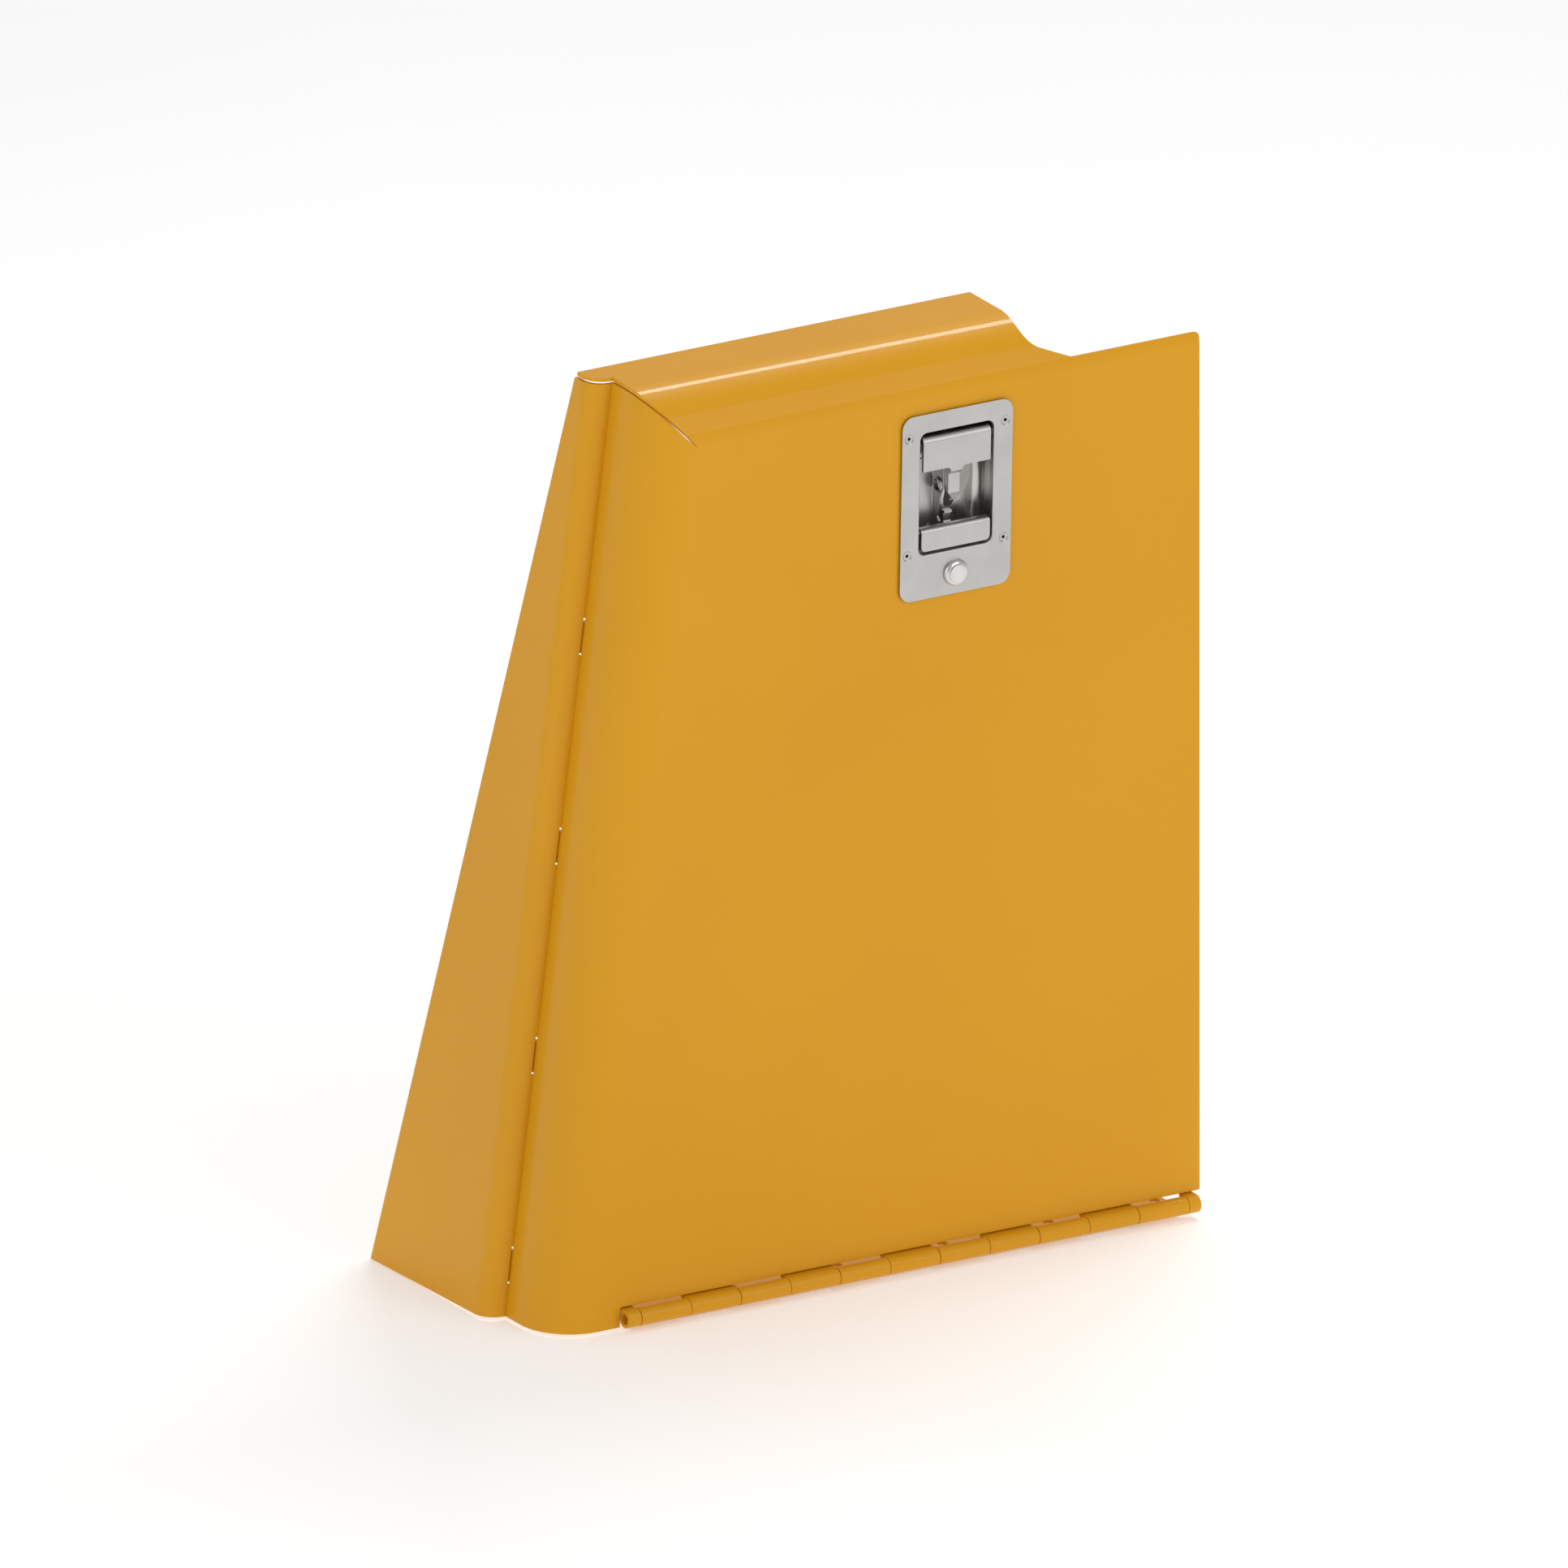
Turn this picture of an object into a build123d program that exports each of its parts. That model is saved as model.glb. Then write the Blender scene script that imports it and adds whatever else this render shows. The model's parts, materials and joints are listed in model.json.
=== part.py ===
"""Bottom-hinged access door of an equipment compartment, with a flush lever latch.

Row frame, millimetres: +X to the right along the hinge, +Y into the compartment, +Z up.
The origin is the middle of the bolt line of the hinge's lower leaf, on the face that lies on the sill.
"""

from build123d import *
from math import atan2, cos, degrees, radians, sin, tan
import os

os.makedirs("parts", exist_ok=True)

# ---------------------------------------------------------------- driving dimensions
SHEET_T = 3.0  # door sheet

# hinge
PIN_R = 4.0
PIN_CLEARANCE = 0.05  # radial, pin in the knuckles
LEAF_T = 3.0
BARREL_LENGTH = 511.7
KNUCKLE_PITCH = 44.5
FULL_KNUCKLES = 11
LEFT_END_KNUCKLE = 11.7
KNUCKLE_GAP = 0.5
PIN_SETBACK = 6.0  # from each end of the barrel
DOOR_LEAF_HEIGHT = 45.0
FRAME_LEAF_DEPTH = 48.0
LEAF_CUT_CLEARANCE = 1.2  # round the other leaf's knuckles
BOLT_R = 4.25
BOLT_BACK = 30.0  # bolt line behind the hinge axis
BOLT_COUNT = 6
BOLT_EDGE = 19.1  # from the barrel's ends to the first bolt

# front of the door
HINGE_DROP = 8.4  # hinge axis below the front's bottom edge
FRONT_OVERHANG = 5.2  # front sheet beyond the barrel's right end
FRONT_HEIGHT = 695.6  # to the top edge beside the hood
RIGHT_LEAN = 1.17  # degrees, the right edge leans left going up
HINGE_NOTCH_GAP = 1.3  # left end of the barrel to the notch's side
SKIRT_DROP = 16.0  # corner and side below the front's bottom edge

# hood
HOOD_R = 43.5  # outside bend radius
HOOD_BEND_Z = 684.0  # start of the bend above the front's bottom edge
HOOD_DEPTH = 86.3
HOOD_RIGHT = 166.0  # right end of the hood, left of the front's bottom right corner
RELIEF_START = 127.3  # where the relief leaves the top edge, same reference
RELIEF_SLOPE = 22.2  # degrees
RELIEF_R = 20.0

# rounded left corner
CORNER_R = 42.0
CORNER_TANGENT = 536.6  # start of the bend at the front's bottom edge, same reference
CORNER_LEAN = 6.2  # degrees
SEAM_Y = 63.0  # end of the corner's return, behind the front face
MITRE_GAP = 1.2

# side panel
SIDE_R = 17.0
SIDE_FOOT_BACK = 227.0
SIDE_TOP_BACK = 89.0
SIDE_FOOT_FALL = 3.2
SIDE_TOP_Z = 722.6
TAB_HEIGHT = 25.0
TAB_PITCH = 165.9
TAB_COUNT = 4
TAB_FIRST = 23.4  # middle of the lowest tab
TAB_REACH = 9.0  # past the flange
NOTCH_ABOVE = 3.4
NOTCH_BELOW = 2.0
NOTCH_OVER = 1.5

# latch, placed on the front face by the middle of its face plate
LATCH_X = 231.2  # left of the front's bottom right corner
LATCH_Z = 599.7
PLATE_W = 98.6
PLATE_H = 149.4
PLATE_R = 10.0
PLATE_T = 1.5
GASKET_T = 1.0
GASKET_INSET = 1.8
MOUTH_W = 65.5
MOUTH_H = 98.3
MOUTH_R = 6.0
MOUTH_MID = 10.15  # above the plate's middle
RIM_DEPTH = 4.0  # behind the plate
PAN_T = 1.5
PAN_FLOOR = 21.0  # front of the pan's back wall, behind the sheet's outer face
CUTOUT_CLEARANCE = 1.25
RIVET_X = 43.0
RIVET_TOP = 57.3
RIVET_FOOT = 37.2
RIVET_SHANK_R = 2.4
RIVET_HEAD_R = 4.25
RIVET_BORE_R = 1.35
RIVET_HOLE_R = 2.5

LEVER_W = 60.0
LEVER_TOP = 55.5
LEVER_FOOT = 28.0
LEVER_T = 2.5
LEVER_BEND_R = 5.0
LEVER_AXIS_Y = 8.0
LEVER_AXIS_Z = 47.0
LEVER_HUB_R = 7.0
SHAFT_R = 4.0
NECK_W = 10.0
NECK_FOOT = 5.5
NECK_SET_IN = 3.8
WEB_T = 2.0
BLADE_T = 4.0

TRIGGER_W = 61.0
TRIGGER_TOP = -18.5
TRIGGER_FOOT = -36.5
TRIGGER_T = 2.2
TRIGGER_BEND_R = 3.5
TRIGGER_CORNER_R = 4.0
TRIGGER_AXIS_Y = 8.0
TRIGGER_AXIS_Z = -33.0
TRIGGER_HUB_R = 4.5
TRIGGER_PIN_R = 3.0
TRIGGER_TUBE_END = 12.5  # right end of the tube, past the latch's middle

PAWL_T = 3.0
PAWL_REACH = 44.0
PAWL_GAP = 0.6  # pan's side wall to the pawl

LOCK_Z = -57.5
LOCK_BEZEL_R = 10.5
LOCK_BARREL_R = 8.5
LOCK_PLUG_R = 6.0
LOCK_DEPTH = 23.0
CAM_T = 2.5
CAM_REACH = 24.0

# ---------------------------------------------------------------- places worked out from them
BARREL_R = PIN_R + LEAF_T
KNUCKLE_BORE_R = PIN_R + PIN_CLEARANCE
AXIS_Y = -BOLT_BACK
AXIS_Z = BARREL_R
BARREL_LEFT = -BARREL_LENGTH / 2
BARREL_RIGHT = BARREL_LENGTH / 2
DOOR_LEAF_FRONT = AXIS_Y + BARREL_R + 0.4  # front of the upright leaf, on the sheet's inner face
FACE_Y = DOOR_LEAF_FRONT - SHEET_T  # outer face of the front
EDGE_Z = AXIS_Z + HINGE_DROP  # bottom edge of the front
RIGHT_X = BARREL_RIGHT + FRONT_OVERHANG  # bottom right corner of the front
NOTCH_X = BARREL_LEFT - HINGE_NOTCH_GAP
HOOD_TOP_Z = EDGE_Z + HOOD_BEND_Z + HOOD_R
LATCH_MID = (RIGHT_X - LATCH_X, FACE_Y, EDGE_Z + LATCH_Z)
PLATE_BACK = -GASKET_T
PLATE_FRONT = PLATE_BACK - PLATE_T
PAN_IN_W = MOUTH_W + 2 * PLATE_T
PAN_IN_H = MOUTH_H + 2 * PLATE_T
PAN_OUT_W = PAN_IN_W + 2 * PAN_T
PAN_OUT_H = PAN_IN_H + 2 * PAN_T
LEVER_FRONT = PLATE_FRONT + 0.2
BIG = 900.0  # reach of cutting prisms, longer than the door


def front_plane(depth):
    """Upright plane in the latch's own axes: x right, y up, with its normal pointing out of the door."""
    return Plane(
        origin=(LATCH_MID[0], LATCH_MID[1] + depth, LATCH_MID[2]),
        x_dir=(1, 0, 0),
        z_dir=(0, -1, 0),
    )


def side_plane(x):
    """Plane across the latch at x from its middle: x into the door, y up, normal to the right."""
    return Plane(
        origin=(LATCH_MID[0] + x, LATCH_MID[1], LATCH_MID[2]),
        x_dir=(0, 1, 0),
        z_dir=(1, 0, 0),
    )


def across_plane(x):
    """Plane across the door at x: x into the door, y up, normal to the right, at the row frame's origin."""
    return Plane(origin=(x, 0, 0), x_dir=(0, 1, 0), z_dir=(1, 0, 0))


def export(builder, name):
    """Label a finished piece and write it."""
    builder.part.label = name
    export_step(builder.part, f"parts/{name}.step")


# ---------------------------------------------------------------- hinge
def knuckle_spans():
    """(left, right) of every knuckle, from the left; the even ones are the door's."""
    edges = [BARREL_LEFT] + [
        BARREL_LEFT + LEFT_END_KNUCKLE + KNUCKLE_PITCH * i for i in range(FULL_KNUCKLES + 1)
    ]
    edges.append(BARREL_RIGHT)
    half = KNUCKLE_GAP / 2
    spans = [(a + half, b - half) for a, b in zip(edges, edges[1:])]
    spans[0] = (BARREL_LEFT, spans[0][1])
    spans[-1] = (spans[-1][0], BARREL_RIGHT)
    return spans


DOOR_SPANS = knuckle_spans()[0::2]
FRAME_SPANS = knuckle_spans()[1::2]
BOLT_PITCH = (BARREL_LENGTH - 2 * BOLT_EDGE) / (BOLT_COUNT - 1)

with BuildPart() as hinge_frame_leaf:
    with BuildSketch(Plane.XY):
        with Locations((FRAME_SPANS[0][0], AXIS_Y)):
            Rectangle(
                FRAME_SPANS[-1][1] - FRAME_SPANS[0][0],
                FRAME_LEAF_DEPTH,
                align=(Align.MIN, Align.MIN),
            )
        with GridLocations(BOLT_PITCH, 1, BOLT_COUNT, 1):
            Circle(BOLT_R, mode=Mode.SUBTRACT)
    extrude(amount=LEAF_T)
    for left, right in DOOR_SPANS[1:-1]:
        with Locations(((left + right) / 2, AXIS_Y, AXIS_Z)):
            Box(
                right - left + 2 * KNUCKLE_GAP,
                2 * (BARREL_R + LEAF_CUT_CLEARANCE),
                4 * BARREL_R,
                mode=Mode.SUBTRACT,
            )
    for left, right in FRAME_SPANS:
        with BuildSketch(across_plane(left)):
            with Locations((AXIS_Y, AXIS_Z)):
                Circle(BARREL_R)
        extrude(amount=right - left)
    with BuildSketch(across_plane(BARREL_LEFT)):
        with Locations((AXIS_Y, AXIS_Z)):
            Circle(PIN_R)
    extrude(amount=BARREL_LENGTH, mode=Mode.SUBTRACT)
export(hinge_frame_leaf, "hinge_frame_leaf")

with BuildPart() as hinge_pin:
    with BuildSketch(across_plane(BARREL_LEFT + PIN_SETBACK)):
        with Locations((AXIS_Y, AXIS_Z)):
            Circle(PIN_R)
    extrude(amount=BARREL_LENGTH - 2 * PIN_SETBACK)
export(hinge_pin, "hinge_pin")

DOOR_LEAF_BACK = DOOR_LEAF_FRONT + LEAF_T
DOOR_LEAF_TOP = AXIS_Z + BARREL_R + DOOR_LEAF_HEIGHT

with BuildPart() as hinge_door_leaf:
    with BuildSketch(across_plane(BARREL_LEFT)):
        with BuildLine():
            Polyline(
                (AXIS_Y, AXIS_Z + BARREL_R - LEAF_T),
                (DOOR_LEAF_BACK, AXIS_Z + BARREL_R - LEAF_T),
                (DOOR_LEAF_BACK, DOOR_LEAF_TOP),
                (DOOR_LEAF_FRONT, DOOR_LEAF_TOP),
                (DOOR_LEAF_FRONT, AXIS_Z + BARREL_R),
                (AXIS_Y, AXIS_Z + BARREL_R),
                close=True,
            )
        make_face()
        bend = vertices().sort_by(Axis.X)[-2:].sort_by(Axis.Y)[0]
        fillet(bend, LEAF_T - 0.2)
    extrude(amount=BARREL_LENGTH)
    for left, right in FRAME_SPANS:
        with Locations(((left + right) / 2, AXIS_Y, AXIS_Z)):
            Box(
                right - left + 2 * KNUCKLE_GAP,
                4 * BARREL_R,
                2 * (BARREL_R + LEAF_CUT_CLEARANCE),
                mode=Mode.SUBTRACT,
            )
    for left, right in DOOR_SPANS:
        with BuildSketch(across_plane(left)):
            with Locations((AXIS_Y, AXIS_Z)):
                Circle(BARREL_R)
        extrude(amount=right - left)
    with BuildSketch(across_plane(BARREL_LEFT)):
        with Locations((AXIS_Y, AXIS_Z)):
            Circle(KNUCKLE_BORE_R)
    extrude(amount=BARREL_LENGTH, mode=Mode.SUBTRACT)
export(hinge_door_leaf, "hinge_door_leaf")

WELD_LEG = 3.0
WELD_LENGTH = 25.0
HINGE_WELD_COUNT = 6

with BuildPart() as hinge_welds:
    pitch = (BARREL_LENGTH - WELD_LENGTH) / HINGE_WELD_COUNT
    for i in range(HINGE_WELD_COUNT):
        start = BARREL_LEFT + pitch * (i + 0.5)
        with BuildSketch(across_plane(start)):
            with BuildLine():
                Polyline(
                    (DOOR_LEAF_FRONT, DOOR_LEAF_TOP),
                    (DOOR_LEAF_FRONT + WELD_LEG, DOOR_LEAF_TOP),
                    (DOOR_LEAF_FRONT, DOOR_LEAF_TOP + WELD_LEG),
                    close=True,
                )
            make_face()
        extrude(amount=WELD_LENGTH)
export(hinge_welds, "hinge_welds")

# ---------------------------------------------------------------- door sheet
FOOT_Z = EDGE_Z - SKIRT_DROP
BEND_Z = EDGE_Z + HOOD_BEND_Z
HOOD_BACK_Y = FACE_Y + HOOD_DEPTH
LEAN = radians(CORNER_LEAN)
LEAN_X = RIGHT_X - CORNER_TANGENT  # corner's tangent line at the front's bottom edge
LEAN_START = -60.0  # leaning sections start this far below the front's bottom edge
LEAN_LENGTH = 860.0
SEAM_X = -CORNER_R  # seam in the leaning section
SIDE_X = SEAM_X - SIDE_R  # outer face of the side panel there
BACK_IN_SECTION = 240.0

lean_plane = Plane(
    origin=(LEAN_X + LEAN_START * sin(LEAN), FACE_Y, EDGE_Z + LEAN_START * cos(LEAN)),
    x_dir=(cos(LEAN), 0, -sin(LEAN)),
    z_dir=(sin(LEAN), 0, cos(LEAN)),
)


def lean_origin(along):
    """The leaning section's plane, moved along its own normal."""
    return lean_plane.offset(along)


def under_hood(gap):
    """Outline, in a plane across the door, of the space under the hood's sheet less a gap."""
    inner = HOOD_R - SHEET_T - gap
    with BuildSketch(across_plane(-BIG)) as outline:
        with BuildLine():
            Polyline(
                (FACE_Y + HOOD_R, BEND_Z + inner),
                (FACE_Y + BACK_IN_SECTION, BEND_Z + inner),
                (FACE_Y + BACK_IN_SECTION, FOOT_Z),
                (FACE_Y - SHEET_T, FOOT_Z),
                (FACE_Y - SHEET_T, BEND_Z),
                (FACE_Y + HOOD_R - inner, BEND_Z),
            )
            CenterArc((FACE_Y + HOOD_R, BEND_Z), inner, 90, 90)
        make_face()
    return outline


with BuildPart(mode=Mode.PRIVATE) as outer_shape:
    with BuildSketch(lean_plane):
        with BuildLine():
            Polyline(
                (BIG, 0),
                (0, 0),
            )
            CenterArc((0, CORNER_R), CORNER_R, 180, 90)
            Line((SEAM_X, CORNER_R), (SEAM_X, SEAM_Y))
            CenterArc((SEAM_X, SEAM_Y + SIDE_R), SIDE_R, 180, 90)
            Polyline(
                (SIDE_X, SEAM_Y + SIDE_R),
                (SIDE_X, BACK_IN_SECTION),
                (BIG, BACK_IN_SECTION),
                (BIG, 0),
            )
        make_face()
    extrude(amount=LEAN_LENGTH)

tab_mids = [TAB_FIRST + TAB_PITCH * i for i in range(TAB_COUNT)]
tab_lifts = [
    (mid + SEAM_X * sin(LEAN) - LEAN_START * cos(LEAN)) / cos(LEAN) for mid in tab_mids
]

# the rounded corner and its return, up to the hood
with BuildPart(mode=Mode.PRIVATE) as corner:
    with BuildSketch(lean_plane):
        with BuildLine():
            Line((0, 0), (0, SHEET_T))
            CenterArc((0, CORNER_R), CORNER_R, 180, 90)
            CenterArc((0, CORNER_R), CORNER_R - SHEET_T, 180, 90)
            Polyline(
                (SEAM_X, CORNER_R),
                (SEAM_X, SEAM_Y),
                (SEAM_X + SHEET_T, SEAM_Y),
                (SEAM_X + SHEET_T, CORNER_R),
            )
        make_face()
    extrude(amount=LEAN_LENGTH)
    for lift in tab_lifts:
        with BuildSketch(lean_origin(lift - TAB_HEIGHT / 2)):
            with Locations((SEAM_X + SHEET_T / 2, SEAM_Y)):
                Rectangle(SHEET_T, TAB_REACH, align=(Align.CENTER, Align.MIN))
        extrude(amount=TAB_HEIGHT)
    extrude(under_hood(MITRE_GAP).sketch, amount=2 * BIG, mode=Mode.INTERSECT)

RELIEF_TURN = 90 - RELIEF_SLOPE  # degrees the relief's arc turns through
with BuildPart() as door_panel:
    with BuildSketch(across_plane(RIGHT_X - BIG)):
        with BuildLine():
            Polyline(
                (FACE_Y, FOOT_Z),
                (FACE_Y, BEND_Z),
            )
            CenterArc((FACE_Y + HOOD_R, BEND_Z), HOOD_R, 90, 90)
            Polyline(
                (FACE_Y + HOOD_R, HOOD_TOP_Z),
                (HOOD_BACK_Y, HOOD_TOP_Z),
                (HOOD_BACK_Y, HOOD_TOP_Z - SHEET_T),
                (FACE_Y + HOOD_R, HOOD_TOP_Z - SHEET_T),
            )
            CenterArc((FACE_Y + HOOD_R, BEND_Z), HOOD_R - SHEET_T, 90, 90)
            Polyline(
                (FACE_Y + SHEET_T, BEND_Z),
                (FACE_Y + SHEET_T, FOOT_Z),
                (FACE_Y, FOOT_Z),
            )
        make_face()
    extrude(amount=BIG)
    add(outer_shape.part, mode=Mode.INTERSECT)
    # relief between the hood's right end and the top edge, seen from the front
    with BuildSketch(Plane.XZ.offset(-FACE_Y + BIG / 2)):
        top = EDGE_Z + FRONT_HEIGHT
        slope = radians(RELIEF_SLOPE)
        run = HOOD_RIGHT - RELIEF_START - RELIEF_R * (1 - sin(slope))
        arc_x = RIGHT_X - RELIEF_START - run
        arc_z = top + run * tan(slope)
        centre = (arc_x + RELIEF_R * sin(slope), arc_z + RELIEF_R * cos(slope))
        with BuildLine():
            Polyline(
                (RIGHT_X + SHEET_T, top),
                (RIGHT_X - RELIEF_START, top),
                (arc_x, arc_z),
            )
            CenterArc(centre, RELIEF_R, 270 - RELIEF_SLOPE, -RELIEF_TURN)
            Polyline(
                (RIGHT_X - HOOD_RIGHT, centre[1]),
                (RIGHT_X - HOOD_RIGHT, HOOD_TOP_Z + SHEET_T),
                (RIGHT_X + SHEET_T, HOOD_TOP_Z + SHEET_T),
                (RIGHT_X + SHEET_T, top),
            )
        make_face()
    extrude(amount=-BIG, mode=Mode.SUBTRACT)
    # right edge leans
    with BuildSketch(Plane.XZ.offset(-FACE_Y + BIG / 2)):
        lean_x = FRONT_HEIGHT * tan(radians(RIGHT_LEAN))
        with BuildLine():
            Polyline(
                (RIGHT_X, EDGE_Z),
                (RIGHT_X - lean_x, EDGE_Z + FRONT_HEIGHT),
                (RIGHT_X + SHEET_T, EDGE_Z + FRONT_HEIGHT + SHEET_T),
                (RIGHT_X + SHEET_T, EDGE_Z),
                close=True,
            )
        make_face()
    extrude(amount=-BIG, mode=Mode.SUBTRACT)
    # bottom edge over the hinge
    with Locations((NOTCH_X, FACE_Y, FOOT_Z)):
        Box(
            RIGHT_X - NOTCH_X + SHEET_T,
            4 * SHEET_T,
            2 * SKIRT_DROP,
            align=(Align.MIN, Align.CENTER, Align.CENTER),
            mode=Mode.SUBTRACT,
        )
    add(corner.part)
    # latch opening, rivet holes and lock hole
    with BuildSketch(front_plane(-SHEET_T)):
        with Locations((0, MOUTH_MID)):
            RectangleRounded(
                PAN_OUT_W + 2 * CUTOUT_CLEARANCE, PAN_OUT_H + 2 * CUTOUT_CLEARANCE, MOUTH_R
            )
        with Locations((0, (RIVET_TOP - RIVET_FOOT) / 2)):
            with GridLocations(2 * RIVET_X, RIVET_TOP + RIVET_FOOT, 2, 2):
                Circle(RIVET_HOLE_R)
        with Locations((0, LOCK_Z)):
            Circle(LOCK_BARREL_R + 0.5)
    extrude(amount=-3 * SHEET_T, mode=Mode.SUBTRACT)
export(door_panel, "door_panel")

with BuildPart() as side_panel:
    with BuildSketch(lean_plane):
        with BuildLine():
            CenterArc((SEAM_X, SEAM_Y + SIDE_R), SIDE_R, 180, 90)
            CenterArc((SEAM_X, SEAM_Y + SIDE_R), SIDE_R - SHEET_T, 180, 90)
            Polyline(
                (SEAM_X, SEAM_Y),
                (SEAM_X + SHEET_T, SEAM_Y),
                (SEAM_X + SHEET_T, SEAM_Y + SHEET_T),
                (SEAM_X, SEAM_Y + SHEET_T),
            )
            Polyline(
                (SIDE_X, SEAM_Y + SIDE_R),
                (SIDE_X, BACK_IN_SECTION),
                (SIDE_X + SHEET_T, BACK_IN_SECTION),
                (SIDE_X + SHEET_T, SEAM_Y + SIDE_R),
            )
        make_face()
    extrude(amount=LEAN_LENGTH)
    for lift in tab_lifts:
        with BuildSketch(lean_origin(lift - TAB_HEIGHT / 2 - NOTCH_BELOW)):
            with Locations((SEAM_X - NOTCH_OVER, SEAM_Y + SHEET_T / 2)):
                Rectangle(
                    SHEET_T + 2 * NOTCH_OVER,
                    2 * SHEET_T,
                    align=(Align.MIN, Align.CENTER),
                )
        extrude(amount=TAB_HEIGHT + NOTCH_BELOW + NOTCH_ABOVE, mode=Mode.SUBTRACT)
    with BuildSketch(across_plane(-BIG)):
        with BuildLine():
            Polyline(
                (FACE_Y + SEAM_Y - 2, FOOT_Z),
                (FACE_Y + SIDE_FOOT_BACK, FOOT_Z - SIDE_FOOT_FALL),
                (FACE_Y + SIDE_TOP_BACK, EDGE_Z + SIDE_TOP_Z),
                (FACE_Y + SEAM_Y - 2, EDGE_Z + SIDE_TOP_Z),
                close=True,
            )
        make_face()
    extrude(amount=2 * BIG, mode=Mode.INTERSECT)
export(side_panel, "side_panel")

SEAM_WELD_LENGTH = 18.0
with BuildPart() as seam_welds:
    for lift in tab_lifts:
        with BuildSketch(lean_origin(lift - SEAM_WELD_LENGTH / 2)):
            with BuildLine():
                Polyline(
                    (SEAM_X + SHEET_T, SEAM_Y + SHEET_T),
                    (SEAM_X + SHEET_T + WELD_LEG, SEAM_Y),
                    (SEAM_X + SHEET_T, SEAM_Y - WELD_LEG),
                    close=True,
                )
            make_face()
        extrude(amount=SEAM_WELD_LENGTH)
export(seam_welds, "seam_welds")


# ---------------------------------------------------------------- latch, in its own axes
with BuildPart() as latch_gasket:
    with BuildSketch(front_plane(PLATE_BACK)):
        RectangleRounded(
            PLATE_W - 2 * GASKET_INSET, PLATE_H - 2 * GASKET_INSET, PLATE_R - GASKET_INSET
        )
        with Locations((0, MOUTH_MID)):
            RectangleRounded(PAN_OUT_W + 1, PAN_OUT_H + 1, MOUTH_R, mode=Mode.SUBTRACT)
        with Locations((0, (RIVET_TOP - RIVET_FOOT) / 2)):
            with GridLocations(2 * RIVET_X, RIVET_TOP + RIVET_FOOT, 2, 2):
                Circle(RIVET_HOLE_R, mode=Mode.SUBTRACT)
        with Locations((0, LOCK_Z)):
            Circle(LOCK_BARREL_R + 0.5, mode=Mode.SUBTRACT)
    extrude(amount=-GASKET_T)
export(latch_gasket, "latch_gasket")

with BuildPart() as latch_face_plate:
    with BuildSketch(front_plane(PLATE_FRONT)):
        RectangleRounded(PLATE_W, PLATE_H, PLATE_R)
    extrude(amount=-PLATE_T)
    with BuildSketch(front_plane(PLATE_BACK)):
        with Locations((0, MOUTH_MID)):
            RectangleRounded(PAN_IN_W, PAN_IN_H, MOUTH_R + PLATE_T)
    extrude(amount=-RIM_DEPTH)
    with BuildSketch(front_plane(PLATE_FRONT)):
        with Locations((0, MOUTH_MID)):
            RectangleRounded(MOUTH_W, MOUTH_H, MOUTH_R)
    extrude(amount=-(PLATE_T + RIM_DEPTH), mode=Mode.SUBTRACT)
    front = faces().sort_by(Axis.Y)[0]
    fillet(front.inner_wires()[0].edges(), PLATE_T - 0.1)
    with BuildSketch(front_plane(PLATE_FRONT)):
        with Locations((0, (RIVET_TOP - RIVET_FOOT) / 2)):
            with GridLocations(2 * RIVET_X, RIVET_TOP + RIVET_FOOT, 2, 2):
                Circle(RIVET_HOLE_R)
        with Locations((0, LOCK_Z)):
            Circle(LOCK_BARREL_R)
    extrude(amount=-PLATE_T, mode=Mode.SUBTRACT)
    for x in (-RIVET_X, RIVET_X):
        for z in (RIVET_TOP, -RIVET_FOOT):
            with BuildSketch(front_plane(PLATE_FRONT)):
                with Locations((x, z)):
                    Circle(RIVET_HEAD_R)
            extrude(
                amount=-(PLATE_T - 0.2),
                taper=degrees(atan2(RIVET_HEAD_R - RIVET_HOLE_R, PLATE_T - 0.2)),
                mode=Mode.SUBTRACT,
            )
export(latch_face_plate, "latch_face_plate")

RIVET_SINK = 0.8  # head below the plate's face
RIVET_TAIL = 6.0
RIVET_TAIL_R = 3.0
with BuildPart() as latch_rivets:
    for x in (-RIVET_X, RIVET_X):
        for z in (RIVET_TOP, -RIVET_FOOT):
            head_depth = PLATE_T - 0.2 - RIVET_SINK
            head_front_r = RIVET_HEAD_R - RIVET_SINK * (RIVET_HEAD_R - RIVET_HOLE_R) / (PLATE_T - 0.2)
            with BuildSketch(front_plane(PLATE_FRONT + RIVET_SINK)):
                with Locations((x, z)):
                    Circle(head_front_r)
            extrude(
                amount=-head_depth,
                taper=degrees(atan2(head_front_r - RIVET_HOLE_R, head_depth)),
            )
            with BuildSketch(front_plane(PLATE_FRONT + RIVET_SINK)):
                with Locations((x, z)):
                    Circle(RIVET_SHANK_R)
            extrude(amount=-(SHEET_T - PLATE_FRONT - RIVET_SINK))
            with BuildSketch(front_plane(SHEET_T)):
                with Locations((x, z)):
                    Circle(RIVET_TAIL_R)
            extrude(amount=-RIVET_TAIL)
            with BuildSketch(front_plane(PLATE_FRONT)):
                with Locations((x, z)):
                    Circle(RIVET_BORE_R)
            extrude(amount=-(SHEET_T - PLATE_FRONT + RIVET_TAIL - 2), mode=Mode.SUBTRACT)
export(latch_rivets, "latch_rivets")

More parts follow.
